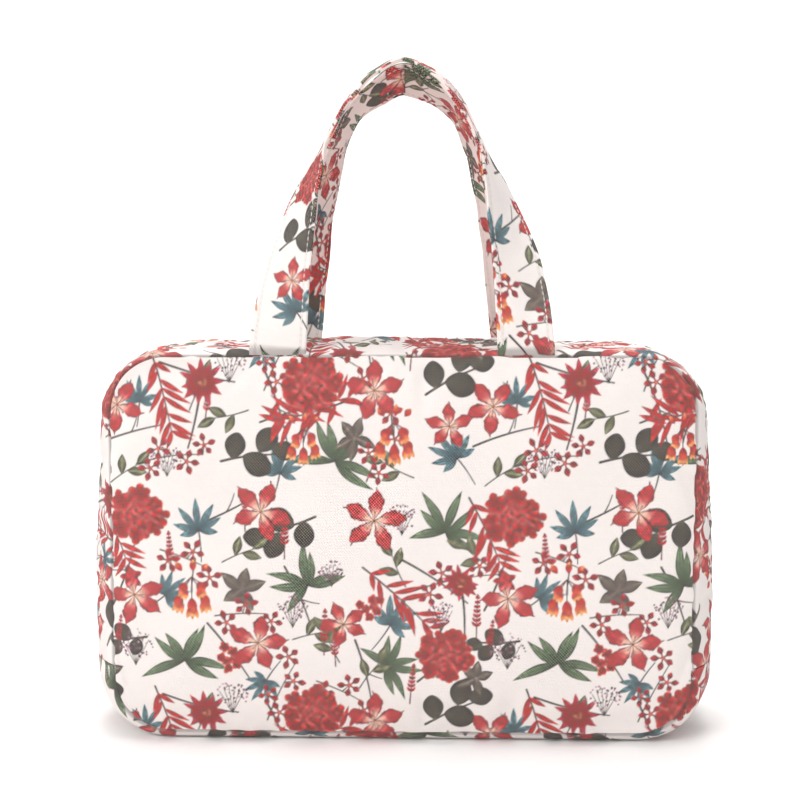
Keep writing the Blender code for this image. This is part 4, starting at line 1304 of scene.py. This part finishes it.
def strap_canvas(prefix, points, side, apex_y, twist_at, spacing):
    count = int(0.37 / spacing)
    centre, _, across, face, near, total, along = strap_frame(points, side, apex_y, twist_at, count)
    flat = np.linspace(-1.0, 1.0, int((STRAP_WIDTH - 2.0 * STRAP_EDGE) / spacing)) * (STRAP_WIDTH / 2.0
        - STRAP_EDGE)
    bend = np.linspace(0.0, math.pi, 8)[1:-1]
    a = np.concatenate([flat, flat[-1] + STRAP_EDGE * np.sin(bend), flat[::-1], flat[0] - STRAP_EDGE
                        * np.sin(bend)])
    h = np.concatenate([np.ones_like(flat), np.cos(bend), -np.ones_like(flat), -np.cos(bend)])
    gap = (along - total)[:, None]
    half = strap_thickness(a[None, :], gap)
    bow = 0.00045 * waves(along[:, None] + 0.0 * a, a[None, :] * 1.5, 31 + int(side), 0.018, 0.06)
    bow = bow * smooth(near, 0.004, 0.02)[:, None]
    rise = h[None, :] * half + bow
    grid = centre[:, None, :] + across[:, None, :] * a[None, :, None] + face[:, None, :] * rise[..., None]
    left = (along <= total)[:, None]
    leg = np.where(left, 1.0, -1.0)
    fore = (np.arange(len(a)) >= len(flat) + len(bend) // 2) & (np.arange(len(a)) < 2 * len(flat)
        + len(bend) + len(bend) // 2)
    u = np.where(fore[None, :], leg * a[None, :], -leg * a[None, :] + 0.071)
    u = u + np.where(left, 0.047 if side < 0.0 else 0.150, 0.128 if side < 0.0 else 0.012)
    v = 0.5 - np.maximum(near, -0.01)[:, None] + np.where(left, 0.018, 0.093) + 0.0 * a[None, :]
    cloth = np.stack([u, v], -1)
    # Painted shade: the print darkens in the stitch grooves, where the strap's halves meet at the top, and
    # towards each foot at the seam.
    stitch_groove_shade = 0.80 + 0.20 * smooth(np.abs(np.abs(a) - (STRAP_WIDTH / 2.0 - STITCH_MARGIN)), 0.0002, 0.0009)
    halves_join_shade = 0.72 + 0.28 * smooth(np.abs(gap), 0.0003, 0.0010)
    colour = printed(cloth[..., 0], cloth[..., 1]) * (stitch_groove_shade[None, :] * halves_join_shade)[...,
        None] * painted_seam_shade(near + 0.0012, 0.0034, 0.5)[:, None, :]
    # Painted reflection: a pink tint on the handles' inner faces and tops.
    inner = np.clip((0.066 - np.abs(centre[:, None, 0] + face[:, None, 0] * h[None, :] * 0.02)) / 0.02,
                    0.0, 1.0)
    colour = colour * (1.0 + inner[..., None] * (PAINTED_INNER_REFLECTION - 1.0))
    rows, cols = grid.shape[:2]
    index = np.arange(rows * cols).reshape(rows, cols)
    nxt = np.roll(index, -1, 1)
    quads = np.stack([index[:-1], index[1:], nxt[1:], nxt[:-1]], -1).reshape(-1, 4)
    mesh = mesh_from(prefix + "_strap_canvas", grid, quads, [list(index[0]), list(index[-1][::-1])])
    add_cloth(mesh, cloth.reshape(-1, 2), colour.reshape(-1, 3))
    obj = piece(prefix + "_strap_canvas", mesh, CANVAS, None, [prefix + "_handle"])
    follow_strap(obj)
    lines = []
    for edge in (-1.0, 1.0):
        offset = edge * (STRAP_WIDTH / 2.0 - STITCH_MARGIN)
        keep = near > 0.001
        for sign in (-1.0, 1.0):
            height = sign * (strap_thickness(np.full(1, offset), 1.0)[0] - 0.00003)
            wave = 0.00045 * waves(along, 0.0 * along + offset * 1.5, 31 + int(side), 0.018,
                                   0.06) * smooth(near, 0.004, 0.02)
            path = centre + across * offset + face * (height + wave)[:, None]
            lines.append((path[keep], face[keep] * sign))
    obj = stitching(prefix + "_strap_stitches", lines, THREAD, None)
    follow_strap(obj)


def follow_strap(obj):
    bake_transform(obj)


def stitching(name, lines, material, body, pitch=0.0032, length=0.0024, radius=0.00021):
    """Single stitches along the lines, each a thread that dips into the cloth at both ends."""
    rings = ((-1.0, 0.45, -0.9), (-0.8, 0.85, -0.1), (0.0, 1.0, 0.35), (0.8, 0.85, -0.1), (1.0, 0.45, -0.9))
    around = np.linspace(0.0, 2.0 * math.pi, 7)[:-1]
    template = []
    for t, r, lift in rings:
        for angle in around:
            template.append((t * length / 2.0, r * radius * 1.25 * math.cos(angle),
                             r * radius * math.sin(angle) + lift * radius))
    template = np.array(template)
    quads, caps, points = [], [], []
    start = 0
    for path, normal in lines:
        at = run_lengths(path)
        centres = np.arange(pitch / 2.0, at[-1], pitch)
        if len(centres) < 1:
            continue

        def read(values, where):
            return np.stack([np.interp(where, at, values[:, k]) for k in range(3)], -1)

        c = read(path, centres)
        tangent = read(path, centres + pitch / 4.0) - read(path, centres - pitch / 4.0)
        tangent /= np.linalg.norm(tangent, axis=1, keepdims=True)
        up = read(normal, centres)
        up -= tangent * (up * tangent).sum(1, keepdims=True)
        up /= np.linalg.norm(up, axis=1, keepdims=True)
        across = np.cross(up, tangent)
        local = template[None]
        made = c[:, None] + tangent[:, None] * local[..., 0:1] + across[:, None] * local[..., 1:2] + up[:,
            None] * local[..., 2:3]
        points.append(made.reshape(-1, 3))
        for _ in range(len(centres)):
            for ring in range(4):
                for k in range(6):
                    a, b = start + ring * 6 + k, start + ring * 6 + (k + 1) % 6
                    quads.append((a, b, b + 6, a + 6))
            caps.append(list(range(start + 5, start - 1, -1)))
            caps.append(list(range(start + 24, start + 30)))
            start += 30
    mesh = mesh_from(name, np.concatenate(points), quads, caps)
    return piece(name, mesh, material, body)


strap_canvas("front", FRONT_STRAP, -1.0, FRONT_TOP_Y, front_twist, SPACING)
strap_canvas("back", BACK_STRAP, 1.0, BACK_TOP_Y, back_twist, SPACING)


# The zip: two tapes, two rows of coil, the stitches that hold the tapes.
def zip_half(prefix, side):
    y = side * np.linspace(0.0118, 0.0023, 12)
    grid, cloth, _ = strip("upper", y, np.full(12, 0.0013), 0.0012, travel=False)
    mesh = shell(prefix + "_zip_tape_cloth", grid, 0.0005, (0.0, 0.0, 1.0), cloth, step=4)
    piece(prefix + "_zip_tape_cloth", mesh, TAPE, prefix + "_half", [prefix + "_zip_tape"])
    # One coil turn: a rounded loop that reaches from the tape to the middle of the zip.
    pitch = 0.0016
    line_, _, ell = strip("upper", np.array([0.0, 0.0001]), 0.0, 0.0004, travel=False)
    path = line_[0]
    _, _, nx, nz = loop_point(ell[0], np.zeros(ell.shape[1]))
    out = np.stack([nx, 0.0 * nx, nz], -1)
    at = run_lengths(path)
    centres = np.arange(pitch * (0.75 if side < 0.0 else 1.25), at[-1] - pitch, pitch)
    c = np.stack([np.interp(centres, at, path[:, k]) for k in range(3)], -1)
    up = np.stack([np.interp(centres, at, out[:, k]) for k in range(3)], -1)
    up /= np.linalg.norm(up, axis=1, keepdims=True)
    tangent = np.cross(up, (0.0, 1.0, 0.0))
    # Rings along y: position, half width along the zip, half height, height of the middle.
    rings = ((0.00300, 0.25, 0.30, -0.00085), (0.00285, 0.42, 0.45, -0.00080), (0.0018, 0.46, 0.50, -0.00070),
             (0.0006, 0.46, 0.50, -0.00068), (-0.0002, 0.60, 0.52, -0.00068),
             (-0.0006, 0.50, 0.42, -0.00070), (-0.0008, 0.22, 0.22, -0.00072))
    around = np.linspace(0.0, 2.0 * math.pi, 9)[:-1]
    template = np.array([(w * 0.001 * math.cos(g), ry, h * 0.001 * math.sin(g) + mid) for ry, w, h,
                         mid in rings for g in around])
    made = c[:, None] + tangent[:, None] * template[None, :, 0:1] + up[:, None] * template[None, :, 2:3]
    made[..., 1] += side * template[None, :, 1]
    quads, caps = [], []
    per = len(template)
    for n in range(len(centres)):
        start = n * per
        for ring in range(len(rings) - 1):
            for k in range(8):
                a, b = start + ring * 8 + k, start + ring * 8 + (k + 1) % 8
                quads.append((a, b, b + 8, a + 8) if side < 0.0 else (a, a + 8, b + 8, b))
        first, last = list(range(start, start + 8)), list(range(start + per - 8, start + per))
        caps.append(first[::-1] if side < 0.0 else first)
        caps.append(last if side < 0.0 else last[::-1])
    mesh = mesh_from(prefix + "_zip_coil", made, quads, caps)
    piece(prefix + "_zip_coil", mesh, TEETH, prefix + "_half", [prefix + "_zip_teeth"])
    y = side * np.array([0.0082, 0.0085])
    grid, _, ell = strip("upper", y, gusset_inset(y), 0.0008)
    x, z, nx, nz = loop_point(ell[0], np.full(ell.shape[1], y[0]))
    lines = [(grid[0], np.stack([nx, 0.0 * nx, nz], -1))]
    stitching(prefix + "_zip_stitches", lines, THREAD, prefix + "_half", radius=0.00018)


zip_half("front", -1.0)
zip_half("back", 1.0)


# The inside: linings, seam bindings and pockets.
def lining_pieces(prefix, side):
    c, f = np.meshgrid(np.linspace(0.0, 1.0, 150), np.linspace(0.0, 1.0, 90))
    inset = 0.0052
    x, z = panel_grid(c, f, inset)
    depth = 0.0037 + 0.00018 * waves(x, z, 41 + int(side), 0.03, 0.10) * smooth(edge_distance(x, z, inset),
        0.0, 0.01)
    y = side * (HALF_DEPTH + panel_swell(x, z) - depth)
    cloth = np.stack([x + 0.3, z], -1)
    mesh = shell(prefix + "_lining_panel", np.stack([x, y, z], -1), 0.0005, (0.0, side, 0.0), cloth, step=4)
    obj = piece(prefix + "_lining_panel", mesh, LINING, prefix + "_half",
                [prefix + "_panel_lining"])
    y = side * graded(0.0489, 0.0105, 0.0008, 0.0016, 0.001, 0.004)
    inset = 0.0044 - 0.0023 * smooth(-np.abs(y), -0.0150, -0.0105)
    grid, cloth, _ = strip("upper", y, inset, 0.0022, travel=False)
    mesh = shell(prefix + "_lining_gusset", grid, 0.0005, (0.0, 0.0, 1.0), cloth, step=4)
    obj = piece(prefix + "_lining_gusset", mesh, LINING, prefix + "_half",
                [prefix + "_gusset_lining"])


def binding(name, kind, side, depth, body, node):
    """Folded tape over a raw seam, with rounded edges and a line of stitches."""
    f = np.linspace(0.0, 1.0, 9)
    y = side * (0.0453 - 0.0044 * f)
    inset = depth + 0.0006 * (np.abs(2.0 * f - 1.0) ** 4)
    grid, cloth, ell = strip(kind, y, inset, 0.0016, travel=False)
    mesh = shell(name, grid, 0.0013, (0.0, 0.0, 1.0 if kind != "lower" else -1.0), cloth, step=2)
    piece(name, mesh, BINDING, body, [node])
    x, z, nx, nz = loop_point(ell[4], np.full(ell.shape[1], y[4]), depth + 0.00135)
    path = np.stack([x, np.full_like(x, y[4]), z], -1)
    stitching(name + "_stitches", [(path, -np.stack([nx, 0.0 * nx, nz], -1))], RED_THREAD, body,
              radius=0.00022)


def pocket_surface(side, x, z, depth):
    return np.stack([x, side * (HALF_DEPTH + panel_swell(x, z) - depth), z], -1)


def pocket_pieces(prefix, side):
    """A slip pocket on the lining, a little full, with a bound mouth and stitched sides."""
    u, w = np.meshgrid(np.linspace(-1.0, 1.0, 121), np.linspace(0.0, 1.0, 50))
    x = 0.120 * u
    z = 0.022 + 0.0980 * w
    full = (1.0 - u**6) * smooth(w, 0.0, 0.25)
    depth = 0.0052 + full * (0.0009 + 0.0004 * waves(x, z, 51 + int(side), 0.03, 0.09))
    grid = pocket_surface(side, x, z, depth)
    mesh = shell(prefix + "_pocket_cloth", grid, 0.0006, (0.0, side, 0.0), np.stack([x + 0.3, z], -1), step=4)
    obj = piece(prefix + "_pocket_cloth", mesh, LINING, prefix + "_half", [prefix + "_pocket"])
    u, w = np.meshgrid(np.linspace(-1.0, 1.0, 161), np.linspace(0.0, 1.0, 9))
    x, z = 0.120 * u, 0.1195 + 0.0085 * w
    depth = 0.0050 + 0.0006 * (1.0 - np.abs(2.0 * w - 1.0) ** 4) * -1.0 + 0.0009 * (1.0 - u[0][None, :] ** 6)
    grid = pocket_surface(side, x, z, depth)
    mesh = shell(prefix + "_pocket_trim", grid, 0.0018, (0.0, side, 0.0), np.stack([x + 0.3, z], -1), step=2)
    piece(prefix + "_pocket_trim", mesh, BINDING, prefix + "_half", [prefix + "_pocket_binding"])
    inner = (0.0, -side, 0.0)
    lines = []
    for start, stop in (((-0.1175, 0.120), (-0.1175, 0.0245)), ((-0.1175, 0.0245), (0.1175, 0.0245)),
                        ((0.1175, 0.0245), (0.1175, 0.120))):
        f = np.linspace(0.0, 1.0, 80)
        x = start[0] + (stop[0] - start[0]) * f
        z = start[1] + (stop[1] - start[1]) * f
        lines.append((pocket_surface(side, x, z, 0.0059), np.tile(inner, (80, 1))))
    stitching(prefix + "_pocket_stitches", lines, RED_THREAD, prefix + "_half", radius=0.0002)


def base_lining():
    y = graded(-0.0484, 0.0489, 0.0012, 0.0024, 0.003, 0.003)
    grid, cloth, _ = strip("lower", y, np.full(len(y), 0.0056), 0.0024, travel=False)
    mesh = shell("base_lining_cloth", grid, 0.0006, (0.0, 0.0, -1.0), cloth, step=4)
    obj = piece("base_lining_cloth", mesh, LINING, "back_half", ["base_lining"])


for half_name, half_side in (("front", -1.0), ("back", 1.0)):
    lining_pieces(half_name, half_side)
    pocket_pieces(half_name, half_side)
base_lining()
binding("front_binding_tape", "upper", -1.0, 0.0056, "front_half", "front_seam_binding")
binding("back_binding_tape", "full", 1.0, 0.0072, "back_half", "back_seam_binding")
binding("base_binding_tape", "lower", -1.0, 0.0072, "back_half", "base_front_binding")


def zip_tab(name, side, node):
    """A folded tab over the zip's lower end."""
    u, w = np.meshgrid(np.linspace(-1.0, 1.0, 41), np.linspace(0.0, 1.0, 25))
    y = 0.0100 * u
    z = SPLIT_Z - 0.0008 - 0.0112 * w - 0.0012 * np.abs(u) ** 6 * w
    width, bottom, _, radius = outline(y, -0.0003)
    drop = np.maximum(0.0, bottom + radius - z)
    x = width - radius + np.sqrt(np.maximum(0.0, radius * radius - drop * drop))
    e = np.maximum(np.abs(u) ** 8, np.abs(2.0 * w - 1.0) ** 8)
    ridge = 0.00018 * np.exp(-((np.abs(u) - 0.82) / 0.06) ** 2)
    x = x + 0.0011 * (1.0 - e) - ridge
    grid = np.stack([side * x, y, z], -1)
    mesh = shell(name, grid, 0.0011, (side, 0.0, 0.0), np.stack([y + 0.1, z], -1), step=4)
    piece(name, mesh, TAB, "back_half", [node])
    lines = []
    for edge in (-0.82, 0.82):
        row = int(round((edge + 1.0) / 2.0 * 40))
        path = grid[2:-2, row].copy()
        path[:, 0] += side * 0.00006
        lines.append((path, np.tile((side, 0.0, 0.0), (len(path), 1))))
    stitching(name + "_stitches", lines, THREAD, "back_half", pitch=0.0024, length=0.0018,
              radius=0.00018)


zip_tab("tab_left", -1.0, "zip_end_tab_left")
zip_tab("tab_right", 1.0, "zip_end_tab_right")


def gore(name, side):
    """A folded gore of lining inside each lower end of the zip."""
    f = np.linspace(0.0, 1.0, 61)
    y = np.linspace(-0.0462, -0.0030, 24)
    yy, w = np.meshgrid(y, f, indexing="ij")
    z = 0.0368 + 0.0068 * w
    grid = np.stack([side * outline(yy, 0.0052)[0], yy, z], -1)
    mesh = shell(name, grid, 0.0005, (side, 0.0, 0.0), np.stack([yy + 0.1, z * 6.0], -1), step=3)
    obj = piece(name, mesh, LINING, None)
    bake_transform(obj)


gore("gore_left", -1.0)
gore("gore_right", 1.0)

for node in ("front_panel_foam", "back_panel_foam", "front_gusset_foam", "back_gusset_foam", "base_foam"):
    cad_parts[node].data.materials.clear()
    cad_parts[node].data.materials.append(FOAM)
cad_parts["base_board"].data.materials.clear()
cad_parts["base_board"].data.materials.append(BOARD)


# The sliders and their pullers.
def prism(outline_, z0, z1, bevel):
    """A plate from a convex outline in x and y, both faces' edges rounded."""
    p = np.array(outline_, float)
    middle = p.mean(0)
    rings = []
    for z, inset in ((z0, 1.0), (z0 + 0.3 * bevel, 0.3), (z0 + bevel, 0.0), (z1 - bevel, 0.0),
                     (z1 - 0.3 * bevel, 0.3), (z1, 1.0)):
        away = p - middle
        shrunk = p - away / np.linalg.norm(away, axis=1, keepdims=True) * bevel * inset
        rings.append(np.column_stack([shrunk, np.full(len(p), z)]))
    count = len(p)
    quads = []
    for r in range(len(rings) - 1):
        for k in range(count):
            a, b = r * count + k, r * count + (k + 1) % count
            quads.append((a, b, b + count, a + count))
    last = (len(rings) - 1) * count
    return np.concatenate(rings), quads, [list(range(count))[::-1], list(range(last, last + count))]


def gather(parts):
    """One mesh's arrays from several closed parts."""
    points, quads, polygons, start = [], [], [], 0
    for p, q, g in parts:
        points.append(p)
        quads += [tuple(i + start for i in face) for face in q]
        polygons += [[i + start for i in face] for face in g]
        start += len(p)
    return np.concatenate(points), quads, polygons


def rounded(width, height, radius, steps=5, cx=0.0, cy=0.0):
    out = []
    for sx, sy, a0 in ((1, 1, 0), (-1, 1, 90), (-1, -1, 180), (1, -1, 270)):
        for i in range(steps + 1):
            a = math.radians(a0 + 90.0 * i / steps)
            out.append((cx + sx * (width / 2.0 - radius) + radius * math.cos(a),
                        cy + sy * (height / 2.0 - radius) + radius * math.sin(a)))
    return out


def bent_bar(path, width, thickness):
    """A rounded bar along a path in x and z."""
    p = np.array(path, float)
    tangent = np.gradient(p, axis=0)
    tangent /= np.linalg.norm(tangent, axis=1, keepdims=True)
    normal = np.stack([-tangent[:, 1], tangent[:, 0]], -1)
    section = np.array(rounded(width, thickness, thickness * 0.42, 3))
    rings = []
    for c, n in zip(p, normal):
        rings.append(np.column_stack([c[0] + n[0] * section[:, 1], section[:, 0],
                                      c[1] + n[1] * section[:, 1]]))
    count = len(section)
    quads = []
    for r in range(len(rings) - 1):
        for k in range(count):
            a, b = r * count + k, r * count + (k + 1) % count
            quads.append((a, a + count, b + count, b))
    last = (len(rings) - 1) * count
    return np.concatenate(rings), quads, [list(range(count)), list(range(last, last + count))[::-1]]


def ring_plate(outer, inner, z0, z1, bevel):
    """A plate with a hole. The two outlines have the same number of points."""
    o, i = np.array(outer, float), np.array(inner, float)
    middle = i.mean(0)

    def grown(p, by):
        away = p - middle
        return p + away / np.linalg.norm(away, axis=1, keepdims=True) * by

    rings = [(grown(o, -bevel), z0), (o, z0 + bevel), (o, z1 - bevel), (grown(o, -bevel), z1),
             (grown(i, bevel), z1), (i, z1 - bevel), (i, z0 + bevel), (grown(i, bevel), z0)]
    points = np.concatenate([np.column_stack([p, np.full(len(p), z)]) for p, z in rings])
    count = len(o)
    quads = []
    for r in range(8):
        for k in range(count):
            a, b = r * count + k, r * count + (k + 1) % count
            c, d = ((r + 1) % 8) * count + (k + 1) % count, ((r + 1) % 8) * count + k
            quads.append((a, b, c, d))
    return points, quads, []


TEETH_DEPTH = 0.0004
SLIDER_CLEARANCE = 0.0012
SLIDER_PLATE = 0.0014
PIVOT_LIFT = 0.0009
SLIDER_Z = SEAM_TOP + TOP_VALLEY - TEETH_DEPTH + SLIDER_CLEARANCE + SLIDER_PLATE / 2.0
PIVOT_Z = SLIDER_Z + SLIDER_PLATE / 2.0 + PIVOT_LIFT


def slider_pieces(name, x, direction):
    top = SLIDER_Z + 0.0007
    body = []
    for i in range(28):
        a = 2.0 * math.pi * i / 28
        c, s = math.cos(a), math.sin(a)
        px = 0.0048 * math.copysign(abs(c) ** 0.55, c)
        wide = 0.0035 - 0.0009 * smooth(px * direction, 0.0, 0.0048)
        body.append((px, float(wide) * math.copysign(abs(s) ** 0.6, s)))
    plate = prism(body, SLIDER_Z - 0.0007, top, 0.0003)
    arch = [(3.0e-3 * math.cos(a), top - 0.0003 + 0.0023 * math.sin(a) ** 0.6) for a in np.linspace(0.0,
        math.pi, 19)]
    bridge = bent_bar(arch, 0.0020, 0.0008)
    points, quads, polygons = gather([plate, bridge])
    points = points + np.array((x, 0.0, 0.0))
    mesh = mesh_from("slider_body_" + name, points, quads, polygons)
    piece("slider_body_" + name, mesh, METAL, name + "_slider", ["slider_" + name])
    tab = ring_plate(
        rounded(0.0070, 0.0060, 0.0022, 6, 0.0075, 0.0),
        rounded(0.0028, 0.0026, 0.0010, 6, 0.0079, 0.0),
        -0.00045, 0.00045, 0.00015,
    )
    arms = [prism(rounded(0.0052, 0.0010, 0.00045, 3, 0.0021, s * 0.0019), -0.00045, 0.00045,
                  0.00012) for s in (-1.0, 1.0)]
    pin_path = np.linspace(-0.0019, 0.0019, 5)
    around = np.linspace(0.0, 2.0 * math.pi, 11)[:-1]
    pin = np.array([(0.0004 * math.cos(a), y, 0.0004 * math.sin(a)) for y in pin_path for a in around])
    pin_quads = [(r * 10 + k, r * 10 + 10 + k, r * 10 + 10 + (k + 1) % 10,
                  r * 10 + (k + 1) % 10) for r in range(4) for k in range(10)]
    points, quads, polygons = gather([tab] + arms
                                     + [(pin, pin_quads, [list(range(10)), list(range(40, 50))[::-1]])])
    points[:, 0] *= direction
    if direction < 0.0:
        quads = [q[::-1] for q in quads]
        polygons = [g[::-1] for g in polygons]
    points = points + np.array((x, 0.0, PIVOT_Z))
    mesh = mesh_from("puller_plate_" + name, points, quads, polygons)
    piece("puller_plate_" + name, mesh, METAL, name + "_puller", ["puller_" + name])


slider_pieces("left", SLIDER_X[0], -1.0)
slider_pieces("right", SLIDER_X[1], 1.0)

# ---------------------------------------------------------------- floor, light and camera
def floor():
    """A pale floor that curves up into a backdrop."""
    profile = [(-1.2, 0.0), (-0.6, 0.0), (0.0, 0.0), (0.6, 0.0), (1.1, 0.0)]
    profile += [(1.1 + 0.6 * math.sin(a), 0.6 - 0.6 * math.cos(a)) for a in np.linspace(0.1, math.pi / 2.0,
        12)]
    profile += [(1.7, 1.2), (1.7, 2.4)]
    xs = np.linspace(-2.4, 2.4, 13)
    grid = np.array([[(x, y, z - 0.0002) for x in xs] for y, z in profile])
    index = np.arange(grid.shape[0] * 13).reshape(-1, 13)
    quads = np.stack([index[:-1, :-1], index[:-1, 1:], index[1:, 1:], index[1:, :-1]], -1).reshape(-1, 4)
    obj = bpy.data.objects.new("studio_floor", mesh_from("studio_floor", grid, quads))
    bpy.context.scene.collection.objects.link(obj)
    obj.data.materials.append(FLOOR)


def area_light(name, place, target, size, power, colour=(1.0, 1.0, 1.0)):
    data = bpy.data.lights.new(name, "AREA")
    data.shape = "DISK"
    data.size = size
    data.energy = power
    data.color = colour
    light = bpy.data.objects.new(name, data)
    bpy.context.scene.collection.objects.link(light)
    light.location = place
    light.rotation_euler = (Vector(target) - Vector(place)).to_track_quat("-Z", "Y").to_euler()


floor()
scene = bpy.context.scene
scene.view_settings.view_transform = "Standard"
world = bpy.data.worlds.new("studio")
scene.world = world
world.use_nodes = True
world.node_tree.nodes["Background"].inputs["Color"].default_value = (1.0, 1.0, 1.0, 1.0)
world.node_tree.nodes["Background"].inputs["Strength"].default_value = 0.67
MIDDLE = (0.0, 0.0, 0.14)
area_light("key", (-0.95, -1.15, 0.95), MIDDLE, 0.9, 13.5, (1.0, 0.995, 0.99))
area_light("top", (0.0, 0.1, 1.4), MIDDLE, 1.0, 10.0)
area_light("low", (0.35, -1.2, 0.12), (0.0, 0.0, 0.08), 0.8, 2.6)
area_light("backdrop", (0.0, 0.9, 1.9), (0.0, 1.65, 0.5), 1.2, 16.0)

camera_data = bpy.data.cameras.new("camera")
camera_data.sensor_width = 36.0
camera_data.lens = 65.43
camera = bpy.data.objects.new("camera", camera_data)
scene.collection.objects.link(camera)
camera.location = (0.0195, -0.7866, 0.2481)
camera.rotation_euler = (math.radians(90.0 - 5.36), 0.0, math.radians(1.58))
scene.camera = camera
